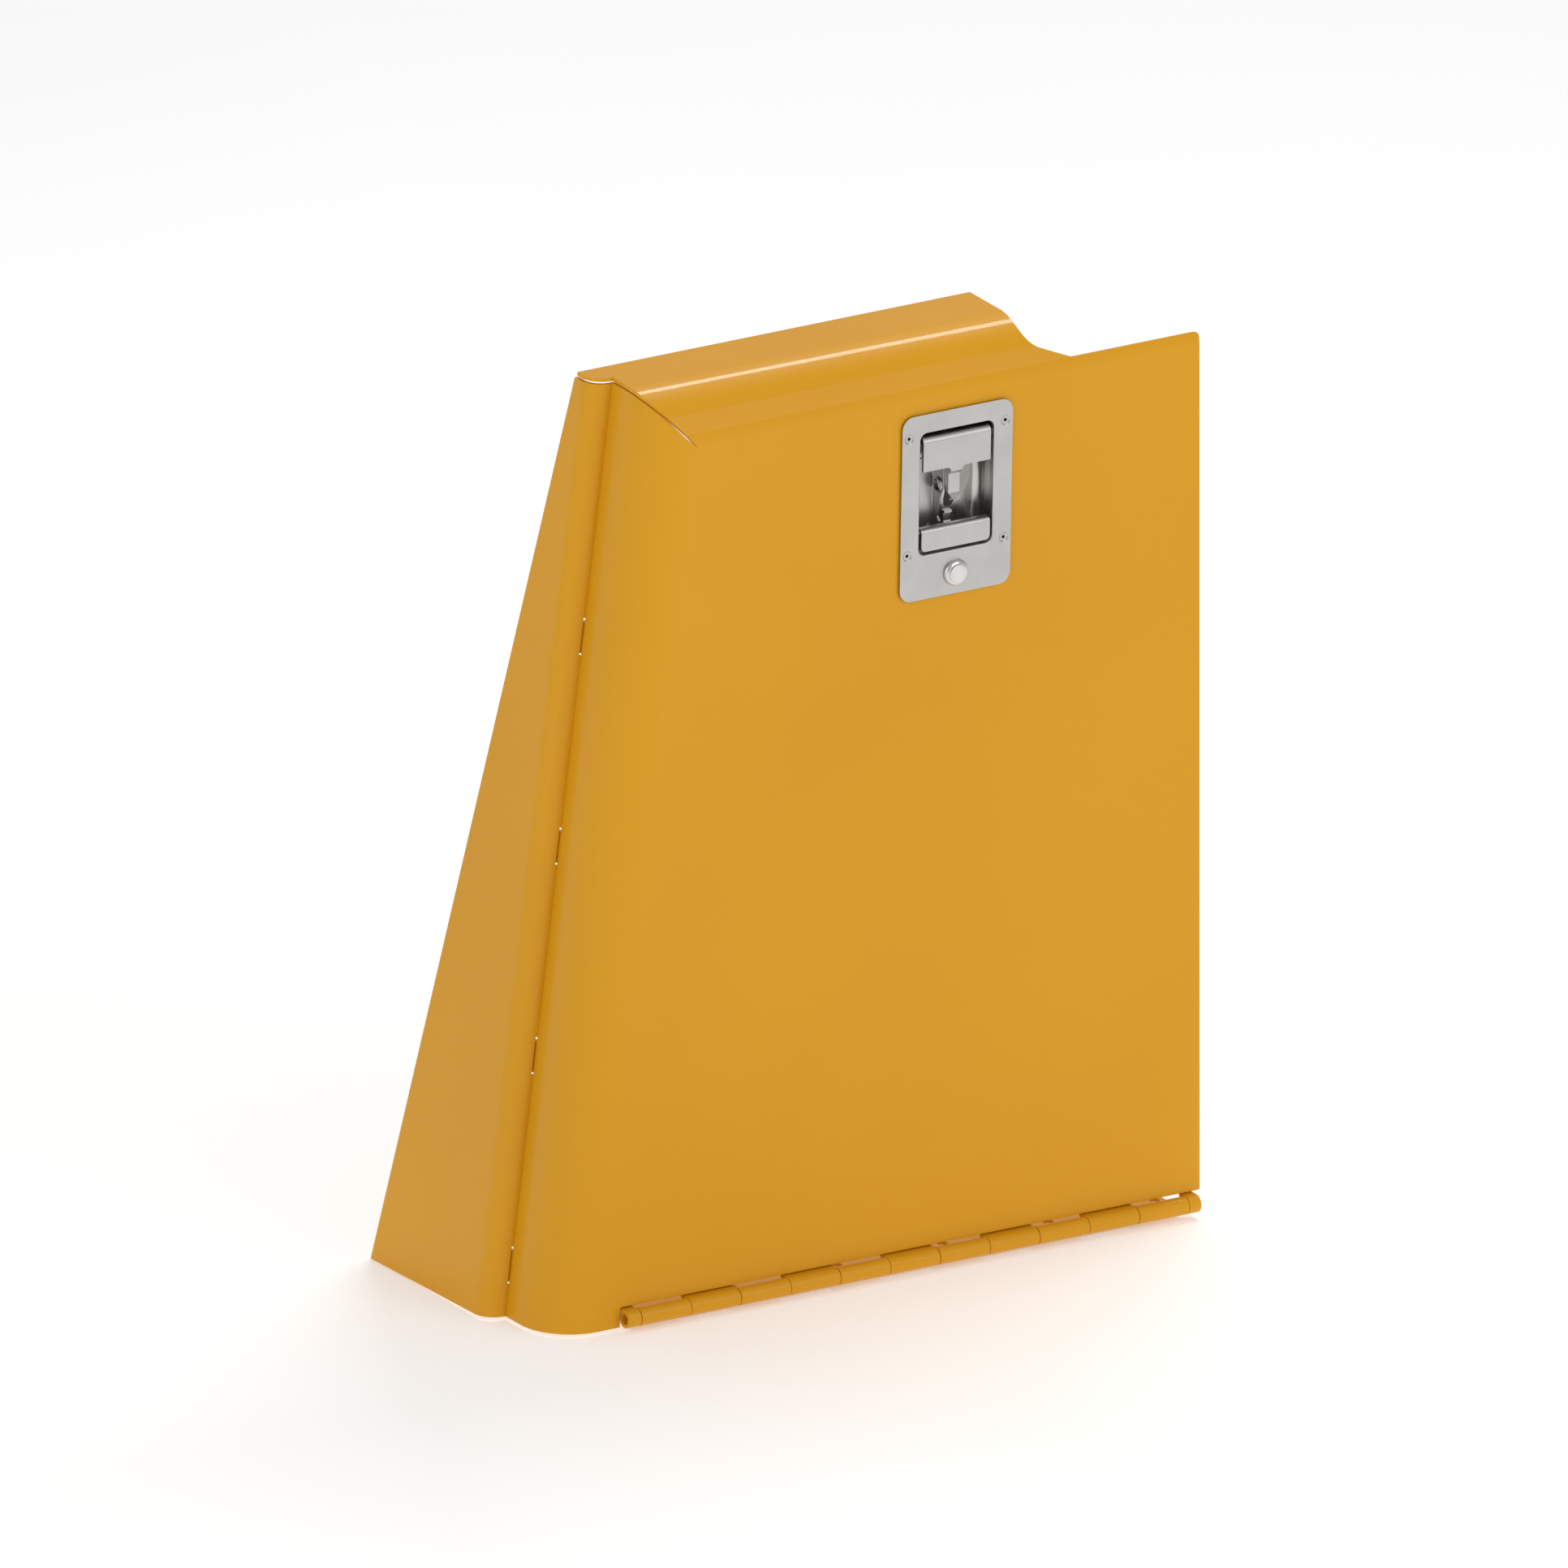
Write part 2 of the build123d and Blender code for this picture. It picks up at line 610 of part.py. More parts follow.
PAN_DEPTH = PAN_FLOOR + PAN_T - PLATE_BACK
PAN_DRAW_R = 7.0  # inside, floor to walls
DIMPLE_PLACE = (-19.5, -18.7)
DIMPLE_R = 12.9
DIMPLE_DEPTH = 2.0
with BuildPart(mode=Mode.PRIVATE) as pan_hollow:
    with BuildSketch(front_plane(PLATE_BACK)):
        with Locations((0, MOUTH_MID)):
            RectangleRounded(PAN_IN_W, PAN_IN_H, MOUTH_R + PLATE_T)
    extrude(amount=-(PAN_DEPTH - PAN_T))
    fillet(faces().sort_by(Axis.Y)[-1].edges(), PAN_DRAW_R)

with BuildPart() as latch_pan:
    with BuildSketch(front_plane(PLATE_BACK)):
        with Locations((0, MOUTH_MID)):
            RectangleRounded(PAN_OUT_W, PAN_OUT_H, MOUTH_R + PLATE_T + PAN_T)
    extrude(amount=-PAN_DEPTH)
    fillet(faces().sort_by(Axis.Y)[-1].edges(), PAN_DRAW_R + PAN_T)
    with BuildSketch(front_plane(PAN_FLOOR)):
        with Locations(DIMPLE_PLACE):
            Circle(DIMPLE_R + PAN_T)
    extrude(amount=-(DIMPLE_DEPTH + PAN_T))
    add(pan_hollow.part, mode=Mode.SUBTRACT)
    with BuildSketch(front_plane(PAN_FLOOR - PAN_T)):
        with Locations(DIMPLE_PLACE):
            Circle(DIMPLE_R)
    extrude(amount=-(DIMPLE_DEPTH + PAN_T), mode=Mode.SUBTRACT)
    with BuildSketch(side_plane(-PAN_OUT_W)):
        with Locations((LEVER_AXIS_Y, LEVER_AXIS_Z)):
            Circle(SHAFT_R + PIN_CLEARANCE)
        with Locations((TRIGGER_AXIS_Y, TRIGGER_AXIS_Z)):
            Circle(TRIGGER_PIN_R)
    extrude(amount=2 * PAN_OUT_W, mode=Mode.SUBTRACT)
export(latch_pan, "latch_pan")

BRACKET_LEFT = -7.0
BRACKET_T = 2.0
EYE_Y = 12.7
EYE_Z = 9.6
EYE_R = 4.6
EYELET_R = 6.1
BRACKET_FOOT_W = 15.0  # foot on the pan's floor, to the left
BRACKET_BEND_R = 0.9
BRACKET_FOOT_T = 1.2
BRACKET_TOP = 30.0
BRACKET_LOW = -23.0
BRACKET_EDGE = (  # depth and height round the free edge, from the top down
    (5.4, BRACKET_TOP),
    (5.4, 8.1),
    (12.0, -6.1),
    (14.1, -16.8),
    (11.5, -19.5),
    (11.5, BRACKET_LOW),
)
with BuildPart() as padlock_bracket:
    with BuildSketch(side_plane(BRACKET_LEFT)):
        with BuildLine():
            Polyline(
                (PAN_FLOOR, BRACKET_TOP),
                *BRACKET_EDGE,
                (PAN_FLOOR, BRACKET_LOW),
                close=True,
            )
        make_face()
        with Locations((EYE_Y, EYE_Z)):
            Circle(EYE_R, mode=Mode.SUBTRACT)
    extrude(amount=BRACKET_T)
    with Locations(
        (LATCH_MID[0] + BRACKET_LEFT, FACE_Y + PAN_FLOOR, LATCH_MID[2] + BRACKET_LOW)
    ):
        Box(
            BRACKET_FOOT_W,
            BRACKET_FOOT_T,
            BRACKET_TOP - BRACKET_LOW,
            align=(Align.MAX, Align.MAX, Align.MIN),
        )
    fillet(
        edges()
        .filter_by(Axis.Z)
        .filter_by_position(Axis.X, LATCH_MID[0] + BRACKET_LEFT, LATCH_MID[0] + BRACKET_LEFT)
        .sort_by(Axis.Y)[-1],
        BRACKET_BEND_R,
    )
export(padlock_bracket, "padlock_bracket")

EYELET_RIM = 1.6  # its thickness on the bracket
EYELET_ROUND = 1.2
with BuildPart() as padlock_eyelet:
    with BuildSketch(side_plane(BRACKET_LEFT)):
        with Locations((EYE_Y, EYE_Z)):
            Circle(EYELET_R)
    extrude(amount=-EYELET_RIM)
    fillet(edges().filter_by(GeomType.CIRCLE).sort_by(Axis.X)[0], EYELET_ROUND)
    with BuildSketch(side_plane(BRACKET_LEFT - 2)):
        with Locations((EYE_Y, EYE_Z)):
            Circle(EYE_R)
    extrude(amount=2, mode=Mode.SUBTRACT)
export(padlock_eyelet, "padlock_eyelet")

# lever: T-plate with a rolled top, hub, neck, web and blade
LEVER_BACK = LEVER_FRONT + LEVER_T
NECK_FILLET_R = 3.5
WEB_LEFT = -4.2  # clear of the padlock bracket
WEB_RIGHT = 16.0
WEB_TOP = LEVER_AXIS_Z - LEVER_HUB_R + 1.0  # inside the hub
WEB_HOOK = ((1.5, -2.0), (11.6, 6.2), (WEB_RIGHT, 17.0))  # three points of its curved foot
BLADE_LEFT = -0.5
BLADE_FOOT = -9.0
BLADE_FRONT = 11.5
BLADE_BACK = 15.5
with BuildPart() as lever_handle:
    with BuildSketch(side_plane(-LEVER_W / 2)):
        with BuildLine():
            Polyline(
                (LEVER_FRONT, LEVER_FOOT),
                (LEVER_FRONT, LEVER_TOP),
                (LEVER_AXIS_Y, LEVER_TOP),
                (LEVER_AXIS_Y, LEVER_TOP - LEVER_T),
                (LEVER_BACK, LEVER_TOP - LEVER_T),
                (LEVER_BACK, LEVER_FOOT),
                close=True,
            )
        make_face()
        fillet(vertices().sort_by(Axis.X)[:2].sort_by(Axis.Y)[-1], LEVER_BEND_R)
        with Locations((LEVER_AXIS_Y, LEVER_AXIS_Z)):
            Circle(LEVER_HUB_R)
    extrude(amount=LEVER_W)
    with BuildSketch(front_plane(LEVER_FRONT)):
        with BuildLine():
            half = NECK_W / 2
            Line((-half - NECK_FILLET_R, LEVER_FOOT), (half + NECK_FILLET_R, LEVER_FOOT))
            CenterArc((half + NECK_FILLET_R, LEVER_FOOT - NECK_FILLET_R), NECK_FILLET_R, 90, 90)
            Line((half, LEVER_FOOT - NECK_FILLET_R), (-half, LEVER_FOOT - NECK_FILLET_R))
            CenterArc((-half - NECK_FILLET_R, LEVER_FOOT - NECK_FILLET_R), NECK_FILLET_R, 0, 90)
        make_face()
    extrude(amount=-LEVER_T)
    with BuildSketch(side_plane(-NECK_W / 2)):
        neck_front = LEVER_FRONT + NECK_SET_IN
        with BuildLine():
            Polyline(
                (LEVER_FRONT, LEVER_FOOT - NECK_FILLET_R),
                (neck_front, LEVER_FOOT - 2 * NECK_FILLET_R),
                (neck_front, NECK_FOOT),
                (neck_front + LEVER_T, NECK_FOOT),
                (neck_front + LEVER_T, LEVER_FOOT - NECK_FILLET_R),
                (LEVER_BACK, LEVER_FOOT),
                (LEVER_FRONT, LEVER_FOOT),
                close=True,
            )
        make_face()
    extrude(amount=NECK_W)
    web_y = LEVER_FRONT + NECK_SET_IN + LEVER_T
    with BuildSketch(front_plane(web_y)):
        with BuildLine():
            Polyline(
                WEB_HOOK[2],
                (WEB_RIGHT, WEB_TOP),
                (WEB_LEFT, WEB_TOP),
                (WEB_LEFT, NECK_FOOT),
                WEB_HOOK[0],
            )
            ThreePointArc(*WEB_HOOK)
        make_face()
    extrude(amount=-WEB_T)
    with BuildSketch(side_plane(BLADE_LEFT)):
        with BuildLine():
            Polyline(
                (web_y + WEB_T, BLADE_FOOT + 17.0),
                (web_y + WEB_T, BLADE_FOOT + 7.0),
                (BLADE_FRONT, BLADE_FOOT),
                (BLADE_BACK, BLADE_FOOT),
                (BLADE_BACK, BLADE_FOOT + 5.0),
                (BLADE_BACK - 3.5, BLADE_FOOT + 17.0),
                close=True,
            )
        make_face()
    extrude(amount=BLADE_T)
    with BuildSketch(side_plane(-LEVER_W)):
        with Locations((LEVER_AXIS_Y, LEVER_AXIS_Z)):
            Circle(SHAFT_R)
    extrude(amount=2 * LEVER_W, mode=Mode.SUBTRACT)
export(lever_handle, "lever_handle")

PAWL_X = PAN_OUT_W / 2 + PAWL_GAP
SHAFT_HALF = PAWL_X + PAWL_T
SCREW_HOLE_R = 2.0
SCREW_HOLE_DEPTH = 8.0
SCREW_RUN = 0.05  # round a screw's shank
SCREW_REACH = 7.5
with BuildPart() as lever_shaft:
    with BuildSketch(side_plane(-SHAFT_HALF)):
        with Locations((LEVER_AXIS_Y, LEVER_AXIS_Z)):
            Circle(SHAFT_R)
    extrude(amount=2 * SHAFT_HALF)
    for x, way in ((-SHAFT_HALF, 1), (SHAFT_HALF, -1)):
        with BuildSketch(side_plane(x)):
            with Locations((LEVER_AXIS_Y, LEVER_AXIS_Z)):
                Circle(SCREW_HOLE_R)
        extrude(amount=SCREW_HOLE_DEPTH * way, mode=Mode.SUBTRACT)
export(lever_shaft, "lever_shaft")

PAWL_EYE_R = 4.6
PAWL_EYE_BACK = 0.3  # behind the shaft's axis
PAWL_TOP = LEVER_AXIS_Z + PAWL_REACH
PAWL_FRONT_Y = LEVER_AXIS_Y - 3.6
PAWL_SHANK_Y = LEVER_AXIS_Y + 4.0
PAWL_HOOK_Y = LEVER_AXIS_Y + 9.0
PAWL_BACK_Y = LEVER_AXIS_Y + 14.0
with BuildPart() as pawls:
    for x in (-PAWL_X - PAWL_T, PAWL_X):
        with BuildSketch(side_plane(x)):
            with Locations((LEVER_AXIS_Y + PAWL_EYE_BACK, LEVER_AXIS_Z)):
                Circle(PAWL_EYE_R)
            with BuildLine():
                Polyline(
                    (PAWL_FRONT_Y, LEVER_AXIS_Z),
                    (PAWL_FRONT_Y, PAWL_TOP),
                    (PAWL_BACK_Y, PAWL_TOP),
                    (PAWL_BACK_Y, PAWL_TOP - 12.0),
                    (PAWL_HOOK_Y, PAWL_TOP - 12.0),
                    (PAWL_HOOK_Y, PAWL_TOP - 7.0),
                    (PAWL_SHANK_Y, PAWL_TOP - 7.0),
                    (LEVER_AXIS_Y + PAWL_EYE_BACK + PAWL_EYE_R, LEVER_AXIS_Z),
                    close=True,
                )
            make_face()
            with Locations((LEVER_AXIS_Y, LEVER_AXIS_Z)):
                Circle(SHAFT_R, mode=Mode.SUBTRACT)
        extrude(amount=PAWL_T)
export(pawls, "pawls")

PAWL_HEAD_R = 4.5
PAWL_HEAD_T = 3.0
SOCKET_R = 1.6
SOCKET_DEPTH = 1.8
with BuildPart() as pawl_screws:
    for x, way in ((-SHAFT_HALF, -1), (SHAFT_HALF, 1)):
        with BuildSketch(side_plane(x)):
            with Locations((LEVER_AXIS_Y, LEVER_AXIS_Z)):
                Circle(PAWL_HEAD_R)
        extrude(amount=PAWL_HEAD_T * way)
        with BuildSketch(side_plane(x + PAWL_HEAD_T * way)):
            with Locations((LEVER_AXIS_Y, LEVER_AXIS_Z)):
                RegularPolygon(SOCKET_R, 6)
        extrude(amount=-SOCKET_DEPTH * way, mode=Mode.SUBTRACT)
        with BuildSketch(side_plane(x)):
            with Locations((LEVER_AXIS_Y, LEVER_AXIS_Z)):
                Circle(SCREW_HOLE_R - SCREW_RUN)
        extrude(amount=-SCREW_REACH * way)
export(pawl_screws, "pawl_screws")

# trigger: plate with a rolled top, ears, hub and a sear behind the lever's blade
SEAR_LEFT = -1.8
SEAR_W = 6.6
SEAR_BACK = 16.0
SEAR_TOP = -12.5
SEAR_T = 2.8
SEAR_HOOK = 1.8  # forward of the sear's front
EAR_T = 2.5
EAR_BACK = 2.0
ROLL_BACK = 4.0  # back end of the rolled top
ROLL_FOOT = TRIGGER_TOP - 6.0
with BuildPart() as trigger:
    trigger_back = LEVER_FRONT + TRIGGER_T
    flat_height = TRIGGER_TOP - TRIGGER_BEND_R - 1.0 - TRIGGER_FOOT
    with BuildSketch(front_plane(LEVER_FRONT)):
        with Locations((0, TRIGGER_FOOT + flat_height / 2)):
            RectangleRounded(TRIGGER_W, flat_height, TRIGGER_CORNER_R)
        with Locations((0, TRIGGER_FOOT + flat_height)):
            Rectangle(
                TRIGGER_W,
                flat_height - TRIGGER_CORNER_R,
                align=(Align.CENTER, Align.MAX),
            )
    extrude(amount=-TRIGGER_T)
    with BuildSketch(side_plane(-TRIGGER_W / 2)):
        with BuildLine():
            Polyline(
                (LEVER_FRONT, ROLL_FOOT),
                (LEVER_FRONT, TRIGGER_TOP),
                (ROLL_BACK, TRIGGER_TOP),
                (ROLL_BACK, TRIGGER_TOP - TRIGGER_T),
                (trigger_back, TRIGGER_TOP - TRIGGER_T),
                (trigger_back, ROLL_FOOT),
                close=True,
            )
        make_face()
        fillet(vertices().sort_by(Axis.X)[:2].sort_by(Axis.Y)[-1], TRIGGER_BEND_R)
    extrude(amount=TRIGGER_W)
    for x in (-TRIGGER_W / 2, TRIGGER_W / 2 - EAR_T):
        with BuildSketch(side_plane(x)):
            with Locations((TRIGGER_AXIS_Y, TRIGGER_AXIS_Z)):
                Circle(TRIGGER_HUB_R)
            with BuildLine():
                Polyline(
                    (trigger_back - 0.5, TRIGGER_TOP - 4.0),
                    (EAR_BACK, TRIGGER_TOP - 4.0),
                    (TRIGGER_AXIS_Y + 3.4, TRIGGER_AXIS_Z + 3.0),
                    (TRIGGER_AXIS_Y, TRIGGER_AXIS_Z - TRIGGER_HUB_R + 0.5),
                    (trigger_back - 0.5, TRIGGER_AXIS_Z + 1.0),
                    close=True,
                )
            make_face()
        extrude(amount=EAR_T)
    with BuildSketch(side_plane(-TRIGGER_W / 2)):
        with Locations((TRIGGER_AXIS_Y, TRIGGER_AXIS_Z)):
            Circle(TRIGGER_HUB_R)
    extrude(amount=TRIGGER_TUBE_END + TRIGGER_W / 2)
    with BuildSketch(side_plane(SEAR_LEFT)):
        with BuildLine():
            Polyline(
                (TRIGGER_AXIS_Y - 2.0, TRIGGER_AXIS_Z + 3.0),
                (SEAR_BACK - SEAR_T, SEAR_TOP - 8.5),
                (SEAR_BACK - SEAR_T, SEAR_TOP - 2.0),
                (SEAR_BACK - SEAR_T - SEAR_HOOK, SEAR_TOP - 2.0),
                (SEAR_BACK - SEAR_T - SEAR_HOOK, SEAR_TOP),
                (SEAR_BACK, SEAR_TOP),
                (SEAR_BACK, SEAR_TOP - 11.0),
                (TRIGGER_AXIS_Y + 3.0, TRIGGER_AXIS_Z + 1.0),
                close=True,
            )
        make_face()
    extrude(amount=SEAR_W)
    with BuildSketch(side_plane(-TRIGGER_W)):
        with Locations((TRIGGER_AXIS_Y, TRIGGER_AXIS_Z)):
            Circle(TRIGGER_PIN_R + PIN_CLEARANCE)
    extrude(amount=2 * TRIGGER_W, mode=Mode.SUBTRACT)
export(trigger, "trigger")

CLIP_T = 0.8
GROOVE_DEPTH = 0.6
GROOVE_RUN = 1.0  # past the pin, so that the cut clears its surface
CLIP_WIDTH = 2.4  # past the pin
CLIP_SLOT = 3.6
TRIGGER_PIN_HALF = PAN_OUT_W / 2 + 2 * CLIP_T
with BuildPart() as trigger_pin:
    with BuildSketch(side_plane(-TRIGGER_PIN_HALF)):
        with Locations((TRIGGER_AXIS_Y, TRIGGER_AXIS_Z)):
            Circle(TRIGGER_PIN_R)
    extrude(amount=2 * TRIGGER_PIN_HALF)
    for x in (-PAN_OUT_W / 2 - CLIP_T, PAN_OUT_W / 2):
        with BuildSketch(side_plane(x)):
            with Locations((TRIGGER_AXIS_Y, TRIGGER_AXIS_Z)):
                Circle(TRIGGER_PIN_R + GROOVE_RUN)
                Circle(TRIGGER_PIN_R - GROOVE_DEPTH, mode=Mode.SUBTRACT)
        extrude(amount=CLIP_T, mode=Mode.SUBTRACT)
export(trigger_pin, "trigger_pin")

with BuildPart() as trigger_pin_clips:
    for x in (-PAN_OUT_W / 2 - CLIP_T, PAN_OUT_W / 2):
        with BuildSketch(side_plane(x)):
            with Locations((TRIGGER_AXIS_Y, TRIGGER_AXIS_Z)):
                Circle(TRIGGER_PIN_R + CLIP_WIDTH)
                Circle(TRIGGER_PIN_R - GROOVE_DEPTH, mode=Mode.SUBTRACT)
                Rectangle(
                    2 * (TRIGGER_PIN_R + CLIP_WIDTH),
                    CLIP_SLOT,
                    align=(Align.MIN, Align.CENTER),
                    mode=Mode.SUBTRACT,
                )
        extrude(amount=CLIP_T)
export(trigger_pin_clips, "trigger_pin_clips")

SPRING_WIRE_R = 0.6
SPRING_COIL_R = 4.2
SPRING_PITCH = 1.6
SPRING_TURNS = 5
SPRING_START = TRIGGER_TUBE_END + SPRING_WIRE_R  # against the end of the trigger's tube
spring_end = (LATCH_MID[0] + SPRING_START, FACE_Y + TRIGGER_AXIS_Y, LATCH_MID[2] + TRIGGER_AXIS_Z)
with BuildPart() as trigger_spring:
    with BuildLine() as coil:
        Helix(
            SPRING_PITCH,
            SPRING_PITCH * SPRING_TURNS,
            SPRING_COIL_R,
            center=spring_end,
            direction=(1, 0, 0),
        )
    with BuildSketch(Plane(origin=coil.line @ 0, z_dir=coil.line % 0)):
        Circle(SPRING_WIRE_R)
    sweep(path=coil.line, is_frenet=True)
export(trigger_spring, "trigger_spring")

# ---------------------------------------------------------------- lock
PLUG_RUN = 0.05
CAM_RUN = 0.15  # housing's end to the cam
BEZEL_PROUD = 4.0
BEZEL_EDGE = 0.6  # flat rim left under the bezel's round
NUT_T = 4.0
NUT_R = 13.5
CAM_SQUARE = 8.0
CAM_W = 12.0
CAM_CORNER_R = 3.0
CAM_HEAD_R = 6.0
CAM_HEAD_T = 2.6
CAM_SLOT_W = 1.2
HEAD_CHAMFER = 0.5
KEYWAY_W = 2.0
KEYWAY_H = 7.5
KEYWAY_DEPTH = 12.0
with BuildPart() as lock_housing:
    with BuildSketch(front_plane(PLATE_FRONT)):
        with Locations((0, LOCK_Z)):
            Circle(LOCK_BEZEL_R)
    extrude(amount=BEZEL_PROUD)
    fillet(faces().sort_by(Axis.Y)[0].edges(), BEZEL_PROUD - BEZEL_EDGE)
    with BuildSketch(front_plane(PLATE_FRONT)):
        with Locations((0, LOCK_Z)):
            Circle(LOCK_BARREL_R)
    extrude(amount=-(LOCK_DEPTH - CAM_RUN - PLATE_FRONT))
    with BuildSketch(front_plane(PLATE_FRONT - BEZEL_PROUD)):
        with Locations((0, LOCK_Z)):
            Circle(LOCK_PLUG_R + PLUG_RUN)
    extrude(amount=-(LOCK_DEPTH - PLATE_FRONT + BEZEL_PROUD), mode=Mode.SUBTRACT)
export(lock_housing, "lock_housing")

PLUG_PROUD = 1.0  # beyond the bezel
SHUTTER_R = 5.4
PLUG_HEAD_R = 7.4
SHUTTER_T = 0.8
with BuildPart() as lock_plug:
    plug_front = PLATE_FRONT - BEZEL_PROUD - PLUG_PROUD
    with BuildSketch(front_plane(plug_front)):
        with Locations((0, LOCK_Z)):
            Circle(PLUG_HEAD_R)
    extrude(amount=-(PLUG_PROUD - CAM_RUN))
    chamfer(faces().sort_by(Axis.Y)[0].edges(), HEAD_CHAMFER)
    with BuildSketch(front_plane(plug_front)):
        with Locations((0, LOCK_Z)):
            Circle(LOCK_PLUG_R)
    extrude(amount=-(LOCK_DEPTH - plug_front))
    with BuildSketch(front_plane(plug_front)):
        with Locations((0, LOCK_Z)):
            Circle(SHUTTER_R)
    extrude(amount=-SHUTTER_T, mode=Mode.SUBTRACT)
    with BuildSketch(front_plane(plug_front)):
        with Locations((0, LOCK_Z)):
            Rectangle(KEYWAY_W, KEYWAY_H)
    extrude(amount=-KEYWAY_DEPTH, mode=Mode.SUBTRACT)
    with BuildSketch(front_plane(LOCK_DEPTH)):
        with Locations((0, LOCK_Z)):
            Rectangle(CAM_SQUARE, CAM_SQUARE)
    extrude(amount=-CAM_T)
    with BuildSketch(front_plane(LOCK_DEPTH + CAM_T)):
        with Locations((0, LOCK_Z)):
            Circle(SCREW_HOLE_R)
    extrude(amount=SCREW_HOLE_DEPTH, mode=Mode.SUBTRACT)
export(lock_plug, "lock_plug")

with BuildPart() as lock_shutter:
    with BuildSketch(front_plane(plug_front)):
        with Locations((0, LOCK_Z)):
            Circle(SHUTTER_R)
    extrude(amount=-SHUTTER_T)
export(lock_shutter, "lock_shutter")

with BuildPart() as lock_cam:
    with BuildSketch(front_plane(LOCK_DEPTH)):
        with Locations((0, LOCK_Z)):
            Circle(LOCK_BARREL_R)
        with Locations((0, LOCK_Z)):
            Rectangle(CAM_REACH, CAM_W, align=(Align.MIN, Align.CENTER))
            Rectangle(CAM_SQUARE, CAM_SQUARE, mode=Mode.SUBTRACT)
    extrude(amount=-CAM_T)
    fillet(edges().filter_by(Axis.Y).sort_by(Axis.X)[-2:], CAM_CORNER_R)
export(lock_cam, "lock_cam")

with BuildPart() as lock_cam_screw:
    with BuildSketch(front_plane(LOCK_DEPTH + CAM_T)):
        with Locations((0, LOCK_Z)):
            Circle(CAM_HEAD_R)
    extrude(amount=-CAM_HEAD_T)
    with BuildSketch(front_plane(LOCK_DEPTH + CAM_T + CAM_HEAD_T)):
        with Locations((0, LOCK_Z)):
            Rectangle(1.5 * CAM_HEAD_R, CAM_SLOT_W)
    extrude(amount=CAM_SLOT_W, mode=Mode.SUBTRACT)
    with BuildSketch(front_plane(LOCK_DEPTH + CAM_T)):
        with Locations((0, LOCK_Z)):
            Circle(SCREW_HOLE_R - SCREW_RUN)
    extrude(amount=SCREW_REACH)
export(lock_cam_screw, "lock_cam_screw")

with BuildPart() as lock_nut:
    with BuildSketch(front_plane(SHEET_T)):
        with Locations((0, LOCK_Z)):
            RegularPolygon(NUT_R, 6)
            Circle(LOCK_BARREL_R, mode=Mode.SUBTRACT)
    extrude(amount=-NUT_T)
export(lock_nut, "lock_nut")
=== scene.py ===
"""Looks for the bottom-hinged access door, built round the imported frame. Metres, row frame."""

import json
import math

import bmesh
import bpy
from mathutils import Matrix, Vector
from mathutils.geometry import tessellate_polygon


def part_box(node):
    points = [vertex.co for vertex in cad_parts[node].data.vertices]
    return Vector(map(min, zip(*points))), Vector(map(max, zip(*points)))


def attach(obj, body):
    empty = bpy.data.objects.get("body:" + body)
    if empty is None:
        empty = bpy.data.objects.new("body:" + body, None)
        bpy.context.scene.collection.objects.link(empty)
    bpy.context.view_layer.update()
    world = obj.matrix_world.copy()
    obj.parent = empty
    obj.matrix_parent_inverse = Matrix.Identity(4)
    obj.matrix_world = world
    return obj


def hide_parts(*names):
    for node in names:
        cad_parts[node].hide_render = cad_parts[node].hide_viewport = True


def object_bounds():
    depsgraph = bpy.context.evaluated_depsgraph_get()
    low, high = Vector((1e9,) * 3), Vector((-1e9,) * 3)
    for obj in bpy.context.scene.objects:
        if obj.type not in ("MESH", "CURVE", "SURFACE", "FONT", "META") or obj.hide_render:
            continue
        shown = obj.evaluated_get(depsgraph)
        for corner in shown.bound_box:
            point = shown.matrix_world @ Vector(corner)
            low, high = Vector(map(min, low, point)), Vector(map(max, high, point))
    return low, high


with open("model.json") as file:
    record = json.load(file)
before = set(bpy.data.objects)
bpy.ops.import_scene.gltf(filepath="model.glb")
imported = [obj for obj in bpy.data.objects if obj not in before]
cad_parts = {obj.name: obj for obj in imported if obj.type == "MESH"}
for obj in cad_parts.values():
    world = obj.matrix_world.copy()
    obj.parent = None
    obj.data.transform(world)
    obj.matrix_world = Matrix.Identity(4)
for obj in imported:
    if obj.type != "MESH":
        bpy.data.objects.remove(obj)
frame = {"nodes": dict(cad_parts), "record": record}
cad_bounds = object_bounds()
nodes = frame["nodes"]
record = frame["record"]
slot_of = {s["node"]: s["material_slot"] for s in record["subparts"]}
body_of = {n: b for b, ns in record["behaviour"]["bodies"].items() for n in ns}
MM = 0.001

# ------------------------------------------------------------------ camera
CAM_RIGHT = Vector((0.8462, -0.5326, 0.0172))
CAM_UP = Vector((0.1726, 0.3046, 0.9367))
CAM_BACK = Vector((-0.5041, -0.7897, 0.3497))
CAM_SCALE = 1.1863
CAM_DISTANCE = 12.0  # far enough that low views start above the floor
CAM_REACH = 50.0
DOOR_CORNER = Vector((0.26105, -0.0256, 0.0154))  # foot of the front's right edge
CORNER_FROM_MIDDLE = (0.3144, -0.3067)  # where that corner lies from the view's middle
view_middle = (
    DOOR_CORNER - CORNER_FROM_MIDDLE[0] * CAM_RIGHT - CORNER_FROM_MIDDLE[1] * CAM_UP
)

